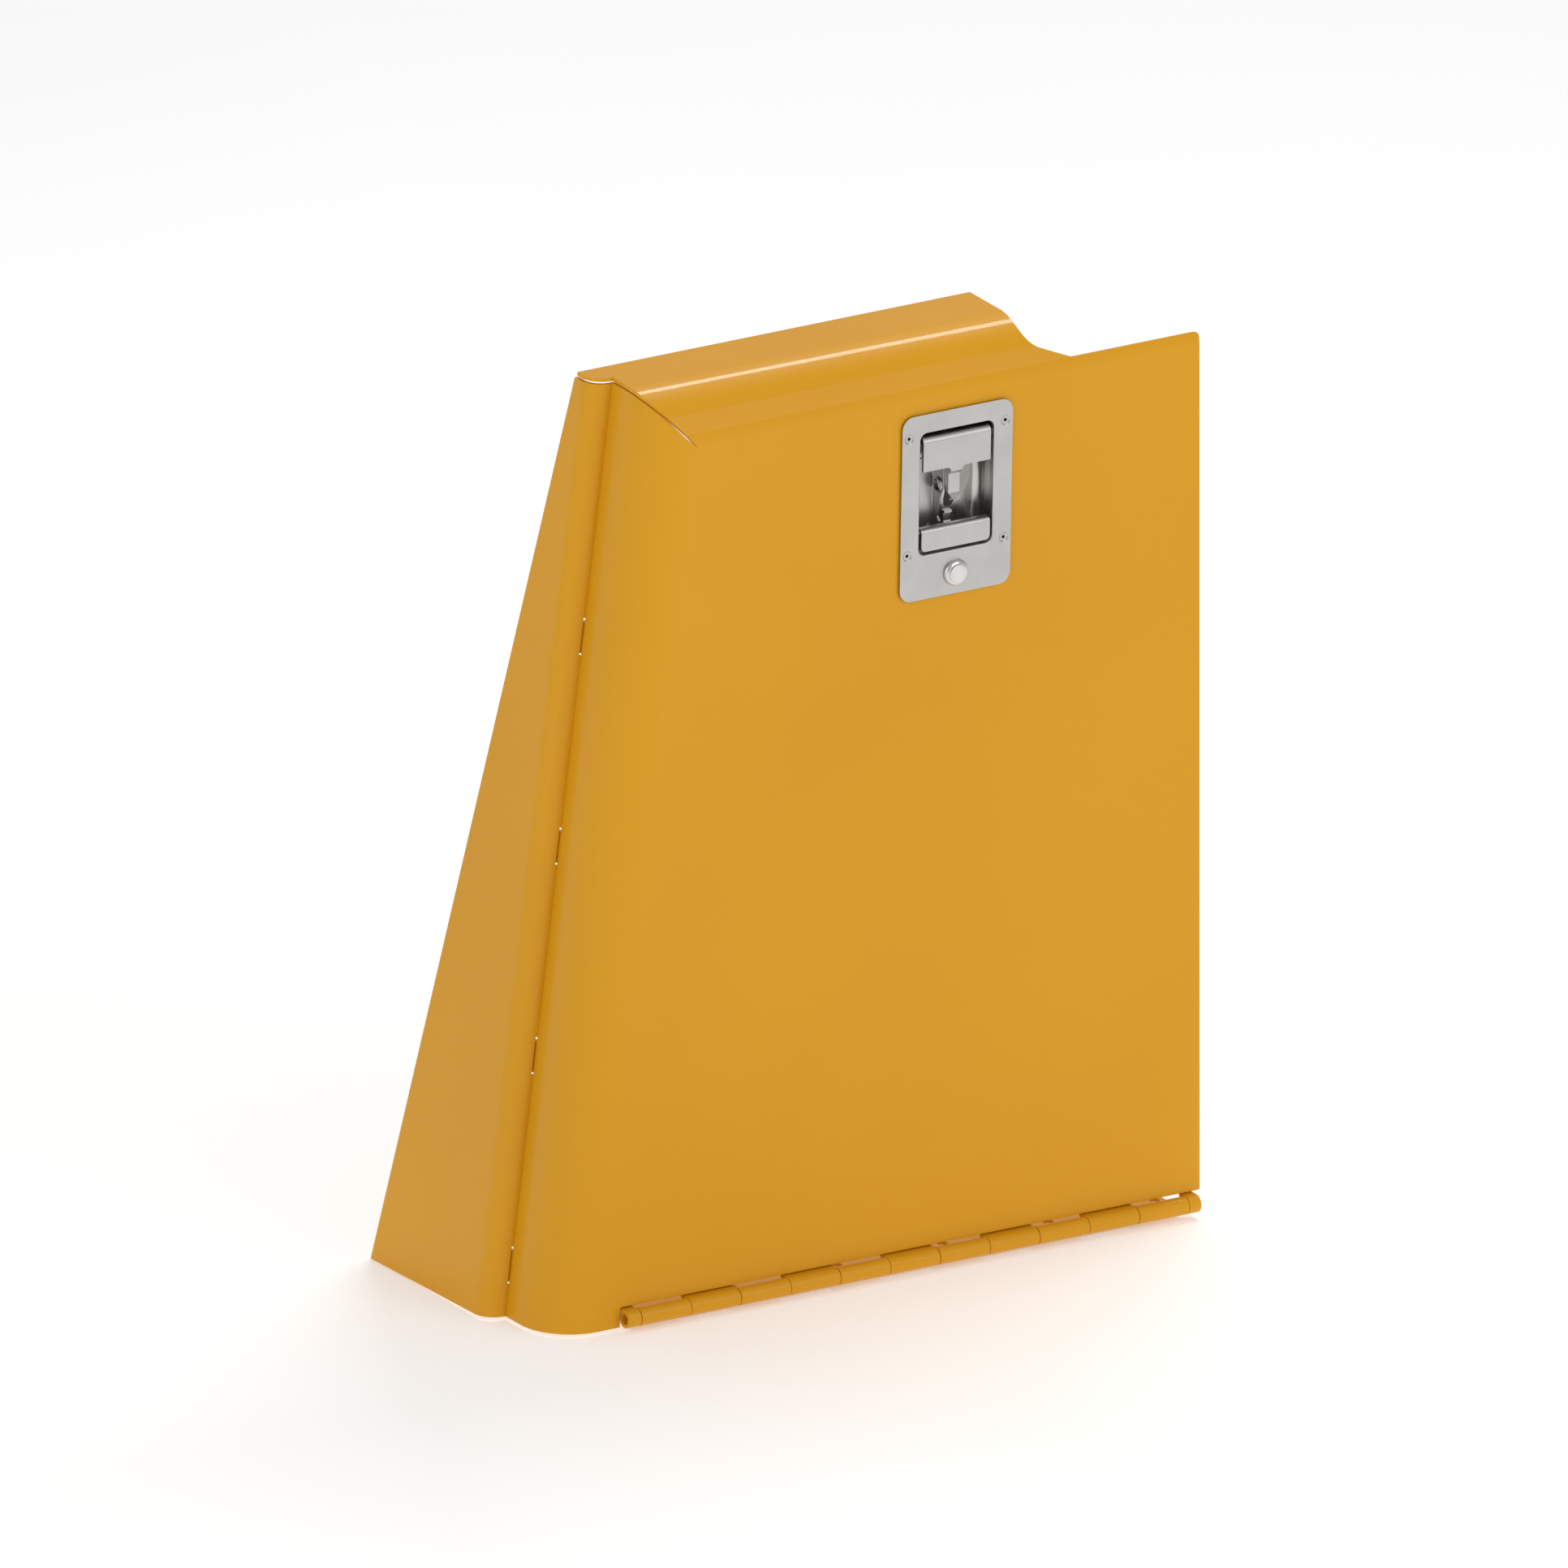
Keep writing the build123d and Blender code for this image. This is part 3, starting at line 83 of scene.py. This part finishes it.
camera_data = bpy.data.cameras.new("camera")
camera_data.type = "ORTHO"
camera_data.ortho_scale = CAM_SCALE
camera_data.clip_end = CAM_REACH
camera = bpy.data.objects.new("camera", camera_data)
camera.matrix_world = Matrix.Translation(view_middle + CAM_DISTANCE * CAM_BACK) @ Matrix(
    (
        (CAM_RIGHT.x, CAM_UP.x, CAM_BACK.x, 0),
        (CAM_RIGHT.y, CAM_UP.y, CAM_BACK.y, 0),
        (CAM_RIGHT.z, CAM_UP.z, CAM_BACK.z, 0),
        (0, 0, 0, 1),
    )
)
bpy.context.scene.collection.objects.link(camera)
bpy.context.scene.camera = camera


# ------------------------------------------------------------------ materials
NOISE_LOW = 0.3  # nearly all of a noise lies between these two
NOISE_HIGH = 0.7
FINE_RELIEF = 0.0002


class Nodes:
    """Short names for making one material's nodes."""

    def __init__(self, name):
        self.material = bpy.data.materials.new(name)
        self.material.use_nodes = True
        self.tree = self.material.node_tree
        self.shader = next(n for n in self.tree.nodes if n.type == "BSDF_PRINCIPLED")
        self.coords = self.add("ShaderNodeTexCoord").outputs["Object"]

    def add(self, kind, **values):
        node = self.tree.nodes.new(kind)
        for key, value in values.items():
            setattr(node, key, value)
        return node

    def link(self, a, b):
        self.tree.links.new(a, b)

    def set(self, **values):
        for key, value in values.items():
            self.shader.inputs[key.replace("_", " ")].default_value = value

    def stretched(self, scale):
        node = self.add("ShaderNodeMapping")
        self.link(self.coords, node.inputs["Vector"])
        node.inputs["Scale"].default_value = scale
        return node.outputs["Vector"]

    def noise(self, scale, detail=2.0, vector=None, roughness=0.5):
        node = self.add("ShaderNodeTexNoise")
        self.link(vector or self.coords, node.inputs["Vector"])
        node.inputs["Scale"].default_value = scale
        node.inputs["Detail"].default_value = detail
        node.inputs["Roughness"].default_value = roughness
        return node.outputs["Fac"]

    def ramp(self, value, low, high, out_low=0.0, out_high=1.0):
        node = self.add("ShaderNodeMapRange")
        self.link(value, node.inputs["Value"])
        for key, number in (
            ("From Min", low), ("From Max", high), ("To Min", out_low), ("To Max", out_high)
        ):
            node.inputs[key].default_value = number
        return node.outputs["Result"]

    def mix(self, factor, a, b):
        node = self.add("ShaderNodeMix", data_type="RGBA")
        self.link(factor, node.inputs["Factor"])
        for socket, value in ((node.inputs["A"], a), (node.inputs["B"], b)):
            if isinstance(value, tuple):
                socket.default_value = (*value, 1.0)
            else:
                self.link(value, socket)
        return node.outputs["Result"]

    def bump(self, height, strength, distance, normal=None):
        node = self.add("ShaderNodeBump")
        self.link(height, node.inputs["Height"])
        node.inputs["Strength"].default_value = strength
        node.inputs["Distance"].default_value = distance
        if normal is not None:
            self.link(normal, node.inputs["Normal"])
        return node.outputs["Normal"]

    def to(self, output, name):
        self.link(output, self.shader.inputs[name])


def paint():
    """Glossy yellow enamel: faint orange peel, slight mottling and a paler bloom of dust."""
    m = Nodes("yellow_paint")
    broad = m.noise(3.0, 3.0)
    colour = m.mix(m.ramp(broad, 0.35, 0.65), (0.690, 0.322, 0.009), (0.725, 0.340, 0.010))
    specks = m.noise(900.0, 1.0)
    colour = m.mix(m.ramp(specks, 0.60, 0.78, 0.0, 0.06), colour, (0.80, 0.45, 0.05))
    m.to(colour, "Base Color")
    m.to(m.ramp(m.noise(14.0, 4.0), NOISE_LOW, NOISE_HIGH, 0.34, 0.42), "Roughness")
    peel = m.bump(m.noise(420.0, 2.0), 0.05, 0.0006)
    m.to(m.bump(broad, 0.04, 0.004, peel), "Normal")
    m.set(Specular_IOR_Level=0.10, Coat_Weight=0.22, Coat_Roughness=0.055, Coat_IOR=1.5)
    return m.material


def steel(name, base, dark, low, high, stretch, bump=0.08, painted_shade=None):
    """Brushed or rolled metal: streaks along the short scale of stretch, broad cloudy variation.

    The last argument is (colour, start, end): painted shade, the metal turns to that colour between
    two heights.
    """
    m = Nodes(name)
    lines = m.noise(1.0, 3.0, m.stretched(stretch), 0.6)
    clouds = m.noise(35.0, 4.0)
    colour = m.mix(m.ramp(clouds, NOISE_LOW, NOISE_HIGH), dark, base)
    if painted_shade:
        shade, start, end = painted_shade
        parts = m.add("ShaderNodeSeparateXYZ")
        m.link(m.coords, parts.inputs["Vector"])
        colour = m.mix(m.ramp(parts.outputs["Z"], start, end), colour, shade)
    m.to(colour, "Base Color")
    m.to(m.ramp(lines, NOISE_LOW, NOISE_HIGH, low, high), "Roughness")
    m.to(m.bump(lines, bump, FINE_RELIEF), "Normal")
    m.set(Metallic=1.0)
    return m.material


def rubber():
    """Dull black rubber with a fine grain."""
    m = Nodes("dark_rubber")
    clouds = m.ramp(m.noise(200.0, 3.0), NOISE_LOW, NOISE_HIGH)
    m.to(m.mix(clouds, (0.012, 0.012, 0.012), (0.03, 0.03, 0.03)), "Base Color")
    m.to(m.bump(m.noise(1500.0), 0.2, FINE_RELIEF), "Normal")
    m.set(Roughness=0.75)
    return m.material


looks = {
    "yellow_paint": paint(),
    "satin_stainless": steel(
        "satin_stainless", (0.525, 0.515, 0.50), (0.475, 0.465, 0.45), 0.30, 0.40, (60, 900, 2600)
    ),
    "zinc_plate": steel(
        "zinc_plate", (0.55, 0.56, 0.56), (0.42, 0.43, 0.42), 0.30, 0.50, (900, 900, 900)
    ),
    "dark_rubber": rubber(),
    "chrome_plate": steel(
        "chrome_plate", (0.72, 0.71, 0.69), (0.62, 0.61, 0.59), 0.10, 0.22, (500, 500, 500), 0.03
    ),
}


# ------------------------------------------------------------------ meshes
EDGE_SEGMENTS = 2
SHARP_ANGLE = math.radians(32.0)
FLAT_ANGLE = math.radians(0.4)  # CAD triangles closer to one plane than this are one face
SHEET_FLAT_ANGLE = math.radians(0.05)
SAME_PLACE = 1e-6
TINY_AREA = 1e-9


def soften(obj, width):
    """Round every sharp edge a little and keep flat faces flat."""
    for polygon in obj.data.polygons:
        polygon.use_smooth = True
    bevel = obj.modifiers.new("round", "BEVEL")
    bevel.width = width
    bevel.segments = EDGE_SEGMENTS
    bevel.limit_method = "ANGLE"
    bevel.angle_limit = SHARP_ANGLE
    bevel.harden_normals = True
    bevel.miter_outer = "MITER_ARC"
    weighted = obj.modifiers.new("flat", "WEIGHTED_NORMAL")
    weighted.keep_sharp = True
    return obj


def keep(obj, node):
    """Give a new piece its body, slot and material, in place of its CAD node."""
    obj.data.materials.clear()
    obj.data.materials.append(looks[slot_of[node]])
    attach(obj, body_of[node])
    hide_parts(node)
    return obj


def new_object(name, bm):
    """Put a finished bmesh into the scene as an object."""
    mesh = bpy.data.meshes.new(name)
    bm.to_mesh(mesh)
    bm.free()
    obj = bpy.data.objects.new(name, mesh)
    bpy.context.scene.collection.objects.link(obj)
    return obj


def rounded_copy(node, width):
    """A copy of a CAD node with its flats merged and its edges rounded."""
    bm = bmesh.new()
    bm.from_mesh(nodes[node].data)
    bmesh.ops.remove_doubles(bm, verts=bm.verts, dist=SAME_PLACE)
    bmesh.ops.dissolve_limit(bm, angle_limit=FLAT_ANGLE, verts=bm.verts, edges=bm.edges)
    return keep(soften(new_object(f"{node}.look", bm), width), node)


# ------------------------------------------------------------------ door sheet, in mm
T = 3.0
FACE_Y = -25.6
EDGE_Z = 15.4
RIGHT_X = 261.05
FOOT_Z = EDGE_Z - 16.0
NOTCH_X = -257.15
BEND_Z = EDGE_Z + 684.0
TOP_Z = EDGE_Z + 695.6
HOOD_R = 43.5
HOOD_DEPTH = 86.3
CORNER_R = 42.0
SEAM_Y = 63.0
SIDE_R = 17.0
LEAN = math.radians(6.2)
LEAN_X = RIGHT_X - 536.6
RIGHT_TAN = math.tan(math.radians(1.17))
RELIEF_X = RIGHT_X - 127.3
HOOD_X = RIGHT_X - 166.0
RELIEF_R = 20.0
RELIEF_SLOPE = math.radians(22.2)
TOP_CORNER_R = 4.0
FOOT_CORNER_R = 1.5
NOTCH_CORNER = 1.0
SLIT_GAP = 1.2  # between the corner's top and the hood, tapering to nothing at the front
SLIT_TAPER = math.radians(15)
TAB_COUNT = 4
TAB_FIRST = 23.4
TAB_PITCH = 165.9
TAB_HALF = 12.5
TAB_REACH = 9.0
LATCH = (29.85, 615.1)
MOUTH_UP = 10.15  # this and the next sizes are from the latch's middle
MOUTH_SIZE = (74.0, 106.8)
MOUTH_R = 6.0
LOCK_DOWN = 57.5
LOCK_R = 9.0
RIVET_X = 43.0
RIVET_UP = 57.3
RIVET_DOWN = 37.2
RIVET_R = 2.5
SHEET_ROUND = 0.0004  # metres

# how finely the sheet is divided
CORNER_STEPS = 30
RETURN_Y = (49.0, 56.0, SEAM_Y)
HOOD_STEPS = 26
HOOD_COLUMNS = 16
FLAP_COLUMNS = 3
BEND_FIRST_ROW = 4  # above the foot of the hood's bend
TOP_EDGE_ROWS = (4, 2, 1, 0.3)  # below the top edge, where its corner rounds
HOOD_BACK_Y = (52, 60, 63, 64, 66, 69, 73, 77, 80, HOOD_DEPTH)


def lean_place(x, y, along):
    """Row-frame point of (across, into the door, along) in the leaning corner's own axes."""
    return (
        LEAN_X + x * math.cos(LEAN) + along * math.sin(LEAN),
        FACE_Y + y,
        EDGE_Z - x * math.sin(LEAN) + along * math.cos(LEAN),
    )


def lean_along(x, z):
    """How far along the leaning corner the height z comes, at x across it."""
    return (z - EDGE_Z + x * math.sin(LEAN)) / math.cos(LEAN)


def hood_row(phi, back):
    """(y, z, outward y, outward z) of a row: phi round the bend, then back along the top."""
    if back > HOOD_R:
        return back, BEND_Z + HOOD_R, 0.0, 1.0
    return (
        HOOD_R * (1 - math.cos(phi)),
        BEND_Z + HOOD_R * math.sin(phi),
        -math.cos(phi),
        math.sin(phi),
    )


def hood_left(y, z):
    """x of the hood's left edge, which follows the outside of the corner and the side."""
    if y < CORNER_R:
        across = -CORNER_R * math.sin(math.acos(1 - y / CORNER_R))
    elif y < SEAM_Y:
        across = -CORNER_R
    else:
        over = max(0.0, SEAM_Y + SIDE_R - y)
        across = -CORNER_R - math.sqrt(SIDE_R**2 - over**2)
    return lean_place(across, 0, lean_along(across, z))[0]


def hood_right(z):
    """x of the relief and the hood's right end."""
    run = RELIEF_X - HOOD_X - RELIEF_R * (1 - math.sin(RELIEF_SLOPE))
    turn_z = TOP_Z + run * math.tan(RELIEF_SLOPE)
    centre_z = turn_z + RELIEF_R * math.cos(RELIEF_SLOPE)
    if z <= TOP_Z:
        return RELIEF_X
    if z <= turn_z:
        return RELIEF_X - (z - TOP_Z) / math.tan(RELIEF_SLOPE)
    if z < centre_z:
        return HOOD_X + RELIEF_R - math.sqrt(RELIEF_R**2 - (centre_z - z) ** 2)
    return HOOD_X


def right_edge(z):
    """x of the front's leaning right edge, rounded at its top."""
    x = RIGHT_X - (z - EDGE_Z) * RIGHT_TAN
    over = z - (TOP_Z - TOP_CORNER_R)
    if over <= 0:
        return x
    return x - (TOP_CORNER_R - math.sqrt(max(0.0, TOP_CORNER_R**2 - over**2)))


def rounded_rect(cx, cz, w, h, r, steps=6):
    """Outline of a rectangle with round corners, about its middle."""
    points = []
    for qx, qz, start in ((1, 1, 0), (-1, 1, 90), (-1, -1, 180), (1, -1, 270)):
        for i in range(steps + 1):
            a = math.radians(start + 90 * i / steps)
            points.append((
                cx + qx * (w / 2 - r) + r * math.cos(a), cz + qz * (h / 2 - r) + r * math.sin(a)
            ))
    return points


def circle_points(cx, cz, r, steps=24):
    """Outline of a circle."""
    return [
        (cx + r * math.cos(2 * math.pi * i / steps), cz + r * math.sin(2 * math.pi * i / steps))
        for i in range(steps)
    ]


class Sheet:
    """Vertices in pairs, one on each face of the sheet, and faces on the outer one."""

    def __init__(self, thickness):
        self.thickness = thickness
        self.outer = []
        self.inner = []
        self.faces = []

    def vertex(self, point, outward):
        self.outer.append(point)
        self.inner.append(tuple(p - self.thickness * n for p, n in zip(point, outward)))
        return len(self.outer) - 1

    def grid(self, rows):
        """Quads between rows of equal length; rows run left to right and upwards."""
        for low, high in zip(rows, rows[1:]):
            for i in range(len(low) - 1):
                self.faces.append((low[i], low[i + 1], high[i + 1], high[i]))

    def build(self):
        bm = bmesh.new()
        outer = [bm.verts.new([MM * c for c in p]) for p in self.outer]
        inner = [bm.verts.new([MM * c for c in p]) for p in self.inner]
        for face in self.faces:
            bm.faces.new([outer[i] for i in face])
        index = {v: i for i, v in enumerate(outer)}
        rim = [
            (index[e.link_loops[0].vert], index[e.link_loops[0].link_loop_next.vert])
            for e in bm.edges
            if len(e.link_faces) == 1
        ]
        for face in self.faces:
            bm.faces.new([inner[i] for i in reversed(face)])
        for a, b in rim:
            bm.faces.new((outer[b], outer[a], inner[a], inner[b]))
        bmesh.ops.recalc_face_normals(bm, faces=bm.faces)
        bmesh.ops.dissolve_limit(
            bm, angle_limit=SHEET_FLAT_ANGLE, verts=bm.verts, edges=bm.edges
        )
        return bm


def door_sheet():
    """The door's one formed sheet: corner and return, hood, flap beside it, and flat front."""
    sheet = Sheet(T)
    # corner: columns round the bend and along its return, rows up the lean
    columns = [math.radians(90 * i / CORNER_STEPS) for i in range(CORNER_STEPS + 1)]
    profile = [
        (-CORNER_R * math.sin(a), CORNER_R * (1 - math.cos(a)), -math.sin(a), -math.cos(a), a)
        for a in columns
    ]
    profile += [(-CORNER_R, y, -1.0, 0.0, math.pi / 2) for y in RETURN_Y]

    def ends(x, y, angle):
        """How far along the lean a column starts and stops."""
        phi = math.acos(max(0.0, 1 - y / HOOD_R))
        gap = SLIT_GAP * min(1.0, angle / SLIT_TAPER)
        top = BEND_Z + (HOOD_R - T) * math.sin(phi) - gap
        return lean_along(x, FOOT_Z), lean_along(x, top)

    low, high = ends(*[profile[-1][i] for i in (0, 1, 4)])
    shares = [0.0, 1.0]
    tab_shares = []
    for i in range(TAB_COUNT):
        middle = (TAB_FIRST + TAB_PITCH * i - CORNER_R * math.sin(LEAN)) / math.cos(LEAN)
        pair = [(middle + side * TAB_HALF - low) / (high - low) for side in (-1, 1)]
        tab_shares.append(pair)
        shares += pair
    shares = sorted(shares)
    rows = [[] for _ in shares]
    for x, y, nx, ny, angle in reversed(profile):
        low, high = ends(x, y, angle)
        outward = (nx * math.cos(LEAN), ny, -nx * math.sin(LEAN))
        for row, share in zip(rows, shares):
            row.append(sheet.vertex(lean_place(x, y, low + share * (high - low)), outward))
    sheet.grid(rows)
    outward = (-math.cos(LEAN), 0, math.sin(LEAN))
    low, high = ends(*[profile[-1][i] for i in (0, 1, 4)])
    for pair in tab_shares:
        ends_of_tab = [
            sheet.vertex(
                lean_place(-CORNER_R, SEAM_Y + TAB_REACH, low + s * (high - low)), outward
            )
            for s in pair
        ]
        first, second = [rows[shares.index(s)][0] for s in pair]
        sheet.faces.append((ends_of_tab[0], first, second, ends_of_tab[1]))
    tangent = [row[-1] for row in rows]

    # hood: rows round the bend and back, columns across
    top_phi = math.asin((TOP_Z - BEND_Z) / HOOD_R)
    heights = [BEND_Z + BEND_FIRST_ROW] + [TOP_Z - down for down in TOP_EDGE_ROWS]
    phis = [0.0] + [math.asin((z - BEND_Z) / HOOD_R) for z in heights] + [top_phi]
    phis += [
        top_phi + (math.pi / 2 - top_phi) * (i + 1) / HOOD_STEPS for i in range(HOOD_STEPS)
    ]
    bends = [(phi, 0.0) for phi in phis]
    bends += [(0.0, y) for y in HOOD_BACK_Y]
    hood_rows = []
    flap_rows = []
    for phi, back in bends:
        y, z, ny, nz = hood_row(phi, back)
        left, right = hood_left(y, z), hood_right(z)
        row = []
        for i in range(HOOD_COLUMNS + 1):
            if phi == 0.0 and back == 0.0 and i == 0:
                row.append(tangent[-1])
                continue
            x = left + (right - left) * i / HOOD_COLUMNS
            row.append(sheet.vertex((x, FACE_Y + y, z), (0, ny, nz)))
        hood_rows.append(row)
        if z <= TOP_Z + SAME_PLACE and back == 0.0:
            end = right_edge(min(z, TOP_Z))
            flap = [row[-1]]
            for i in range(1, FLAP_COLUMNS + 1):
                x = right + (end - right) * i / FLAP_COLUMNS
                flap.append(sheet.vertex((x, FACE_Y + y, z), (0, ny, nz)))
            flap_rows.append(flap)
    sheet.grid(hood_rows)
    sheet.grid(flap_rows)

    # flat front: the polygon between them, with the latch's openings
    front = (0.0, -1.0, 0.0)
    loop = list(tangent)
    loop += hood_rows[0][1:] + flap_rows[0][1:]
    r = FOOT_CORNER_R
    bottom = [
        (RIGHT_X - r + r * math.sin(a), EDGE_Z + r - r * math.cos(a))
        for a in (math.radians(v) for v in (90, 60, 30, 0))
    ]
    bottom += [
        (NOTCH_X + NOTCH_CORNER, EDGE_Z),
        (NOTCH_X, EDGE_Z - NOTCH_CORNER),
        (NOTCH_X, FOOT_Z),
    ]
    loop += [sheet.vertex((x, FACE_Y, z), front) for x, z in bottom]
    x0, z0 = LATCH
    holes = [
        rounded_rect(x0, z0 + MOUTH_UP, *MOUTH_SIZE, MOUTH_R),
        circle_points(x0, z0 - LOCK_DOWN, LOCK_R),
    ]
    for hx in (-RIVET_X, RIVET_X):
        for hz in (RIVET_UP, -RIVET_DOWN):
            holes.append(circle_points(x0 + hx, z0 + hz, RIVET_R, 16))
    loops = [loop]
    for hole in holes:
        loops.append([sheet.vertex((x, FACE_Y, z), front) for x, z in hole])
    flat = [i for one in loops for i in one]
    rings = [[Vector((sheet.outer[i][0], sheet.outer[i][2], 0)) for i in one] for one in loops]
    for triangle in tessellate_polygon(rings):
        a, b, c = [flat[i] for i in triangle]
        area = Vector((
            sheet.outer[b][0] - sheet.outer[a][0], sheet.outer[b][2] - sheet.outer[a][2]
        )).cross(Vector((
            sheet.outer[c][0] - sheet.outer[a][0], sheet.outer[c][2] - sheet.outer[a][2]
        )))
        if abs(area) > TINY_AREA:
            sheet.faces.append((a, b, c) if area > 0 else (a, c, b))
    keep(soften(new_object("door_panel.look", sheet.build()), SHEET_ROUND), "door_panel")


door_sheet()

# ------------------------------------------------------------------ the other pieces
EDGES = {
    "side_panel": 0.0004,
    "hinge_frame_leaf": 0.0004,
    "hinge_door_leaf": 0.0004,
    "hinge_pin": 0.0004,
    "hinge_welds": 0.0006,
    "seam_welds": 0.0006,
    "latch_gasket": 0.0002,
    "latch_face_plate": 0.0003,
    "latch_rivets": 0.00025,
    "latch_pan": 0.0003,
    "padlock_bracket": 0.0003,
    "padlock_eyelet": 0.0003,
    "lever_handle": 0.0004,
    "lever_shaft": 0.0003,
    "pawls": 0.0003,
    "pawl_screws": 0.0003,
    "trigger": 0.0004,
    "trigger_pin": 0.0003,
    "trigger_pin_clips": 0.0001,
    "lock_housing": 0.0003,
    "lock_plug": 0.0002,
    "lock_shutter": 0.0001,
    "lock_cam": 0.0003,
    "lock_cam_screw": 0.0003,
    "lock_nut": 0.0004,
}
for node, width in EDGES.items():
    rounded_copy(node, width)
# the spring has no sharp edges, so its CAD node shows, with its own look
spring = nodes["trigger_spring"]
spring.data.materials.clear()
spring.data.materials.append(looks[slot_of["trigger_spring"]])

# the recess: painted shade darkens the pan's inside above the lever's plate, and the web and blade
# behind the neck are duller, their darker colour painted shade
PAN_SHADE_LOW = 0.6595
PAN_SHADE_HIGH = 0.6660
pan_steel_painted_shade = steel(
    "pan_steel_painted_shade",
    (0.60, 0.585, 0.56),
    (0.50, 0.49, 0.47),
    0.24,
    0.34,
    (900, 900, 60),
    # painted shade: dark brown towards the top of the pan's inner faces
    painted_shade=((0.030, 0.020, 0.010), PAN_SHADE_LOW, PAN_SHADE_HIGH),
)
pan = bpy.data.objects["latch_pan.look"]
pan.data.materials.append(pan_steel_painted_shade)
pan_low, pan_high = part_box("latch_pan")
pan_middle = (Vector(pan_low) + Vector(pan_high)) / 2
for polygon in pan.data.polygons:
    if polygon.normal.dot(pan_middle - polygon.center) > 0:
        polygon.material_index = 1

# painted shade: the web and blade are coloured darker than the other stainless
web_steel_painted_shade = steel(
    "web_steel_painted_shade", (0.34, 0.33, 0.315), (0.29, 0.28, 0.265), 0.34, 0.44, (60, 900, 2600)
)
lever = bpy.data.objects["lever_handle.look"]
lever.data.materials.append(web_steel_painted_shade)
WEB_FRONT_Y = MM * (FACE_Y + 3.7)
WEB_X = (MM * (LATCH[0] - 4.6), MM * (LATCH[0] + 16.5))
WEB_Z = (MM * (LATCH[1] - 9.5), MM * (LATCH[1] + 27.5))
for polygon in lever.data.polygons:
    centre = polygon.center
    if (
        centre.y > WEB_FRONT_Y
        and WEB_X[0] < centre.x < WEB_X[1]
        and WEB_Z[0] < centre.z < WEB_Z[1]
    ):
        polygon.material_index = 1

# ------------------------------------------------------------------ floor and light
FLOOR_HALF = 30.0
FLOOR_DROP = 0.0005  # below the lowest CAD point
bm = bmesh.new()
bmesh.ops.create_grid(bm, x_segments=2, y_segments=2, size=FLOOR_HALF)
floor = new_object("floor", bm)
floor.location = (0, 0, cad_bounds[0][2] - FLOOR_DROP)
floor_material = Nodes("floor")
floor_clouds = floor_material.ramp(floor_material.noise(2.0), NOISE_LOW, NOISE_HIGH)
floor_material.to(
    floor_material.mix(floor_clouds, (0.86, 0.86, 0.86), (0.88, 0.88, 0.88)), "Base Color"
)
floor_material.set(Roughness=0.9, Emission_Color=(1.0, 1.0, 1.0, 1.0), Emission_Strength=0.30)
floor.data.materials.append(floor_material.material)

# an even white room, brighter below the horizon so that low views stay white too
WORLD_ABOVE = 0.56
WORLD_BELOW = 1.0
HORIZON_BLEND = 0.02
world = bpy.data.worlds.new("studio")
bpy.context.scene.world = world
world.use_nodes = True
background = world.node_tree.nodes["Background"]
background.inputs["Color"].default_value = (1.0, 1.0, 1.0, 1.0)
sky = world.node_tree.nodes.new("ShaderNodeTexCoord").outputs["Generated"]
split = world.node_tree.nodes.new("ShaderNodeSeparateXYZ")
below = world.node_tree.nodes.new("ShaderNodeMapRange")
for key, number in (
    ("From Min", -HORIZON_BLEND), ("From Max", 0.0), ("To Min", WORLD_BELOW), ("To Max", WORLD_ABOVE)
):
    below.inputs[key].default_value = number
world.node_tree.links.new(sky, split.inputs["Vector"])
world.node_tree.links.new(split.outputs["Z"], below.inputs["Value"])
world.node_tree.links.new(below.outputs["Result"], background.inputs["Strength"])


def area_light(name, place, target, size, power):
    """A rectangular lamp at place that faces target."""
    data = bpy.data.lights.new(name, "AREA")
    data.shape = "RECTANGLE"
    data.size, data.size_y = size
    data.energy = power
    light = bpy.data.objects.new(name, data)
    light.location = place
    light.rotation_euler = (Vector(target) - Vector(place)).to_track_quat("-Z", "Y").to_euler()
    bpy.context.scene.collection.objects.link(light)


area_light("key", (0.8, -2.6, 1.9), (0, 0, 0.35), (2.0, 2.0), 19)
area_light("fill", (-2.6, -0.6, 1.2), (0, 0, 0.35), (1.6, 2.0), 8)
area_light("strip", (1.45, 0.96, 3.05), (-0.05, 0, 0.73), (1.8, 0.27), 34)

bpy.context.scene.view_settings.view_transform = "Standard"
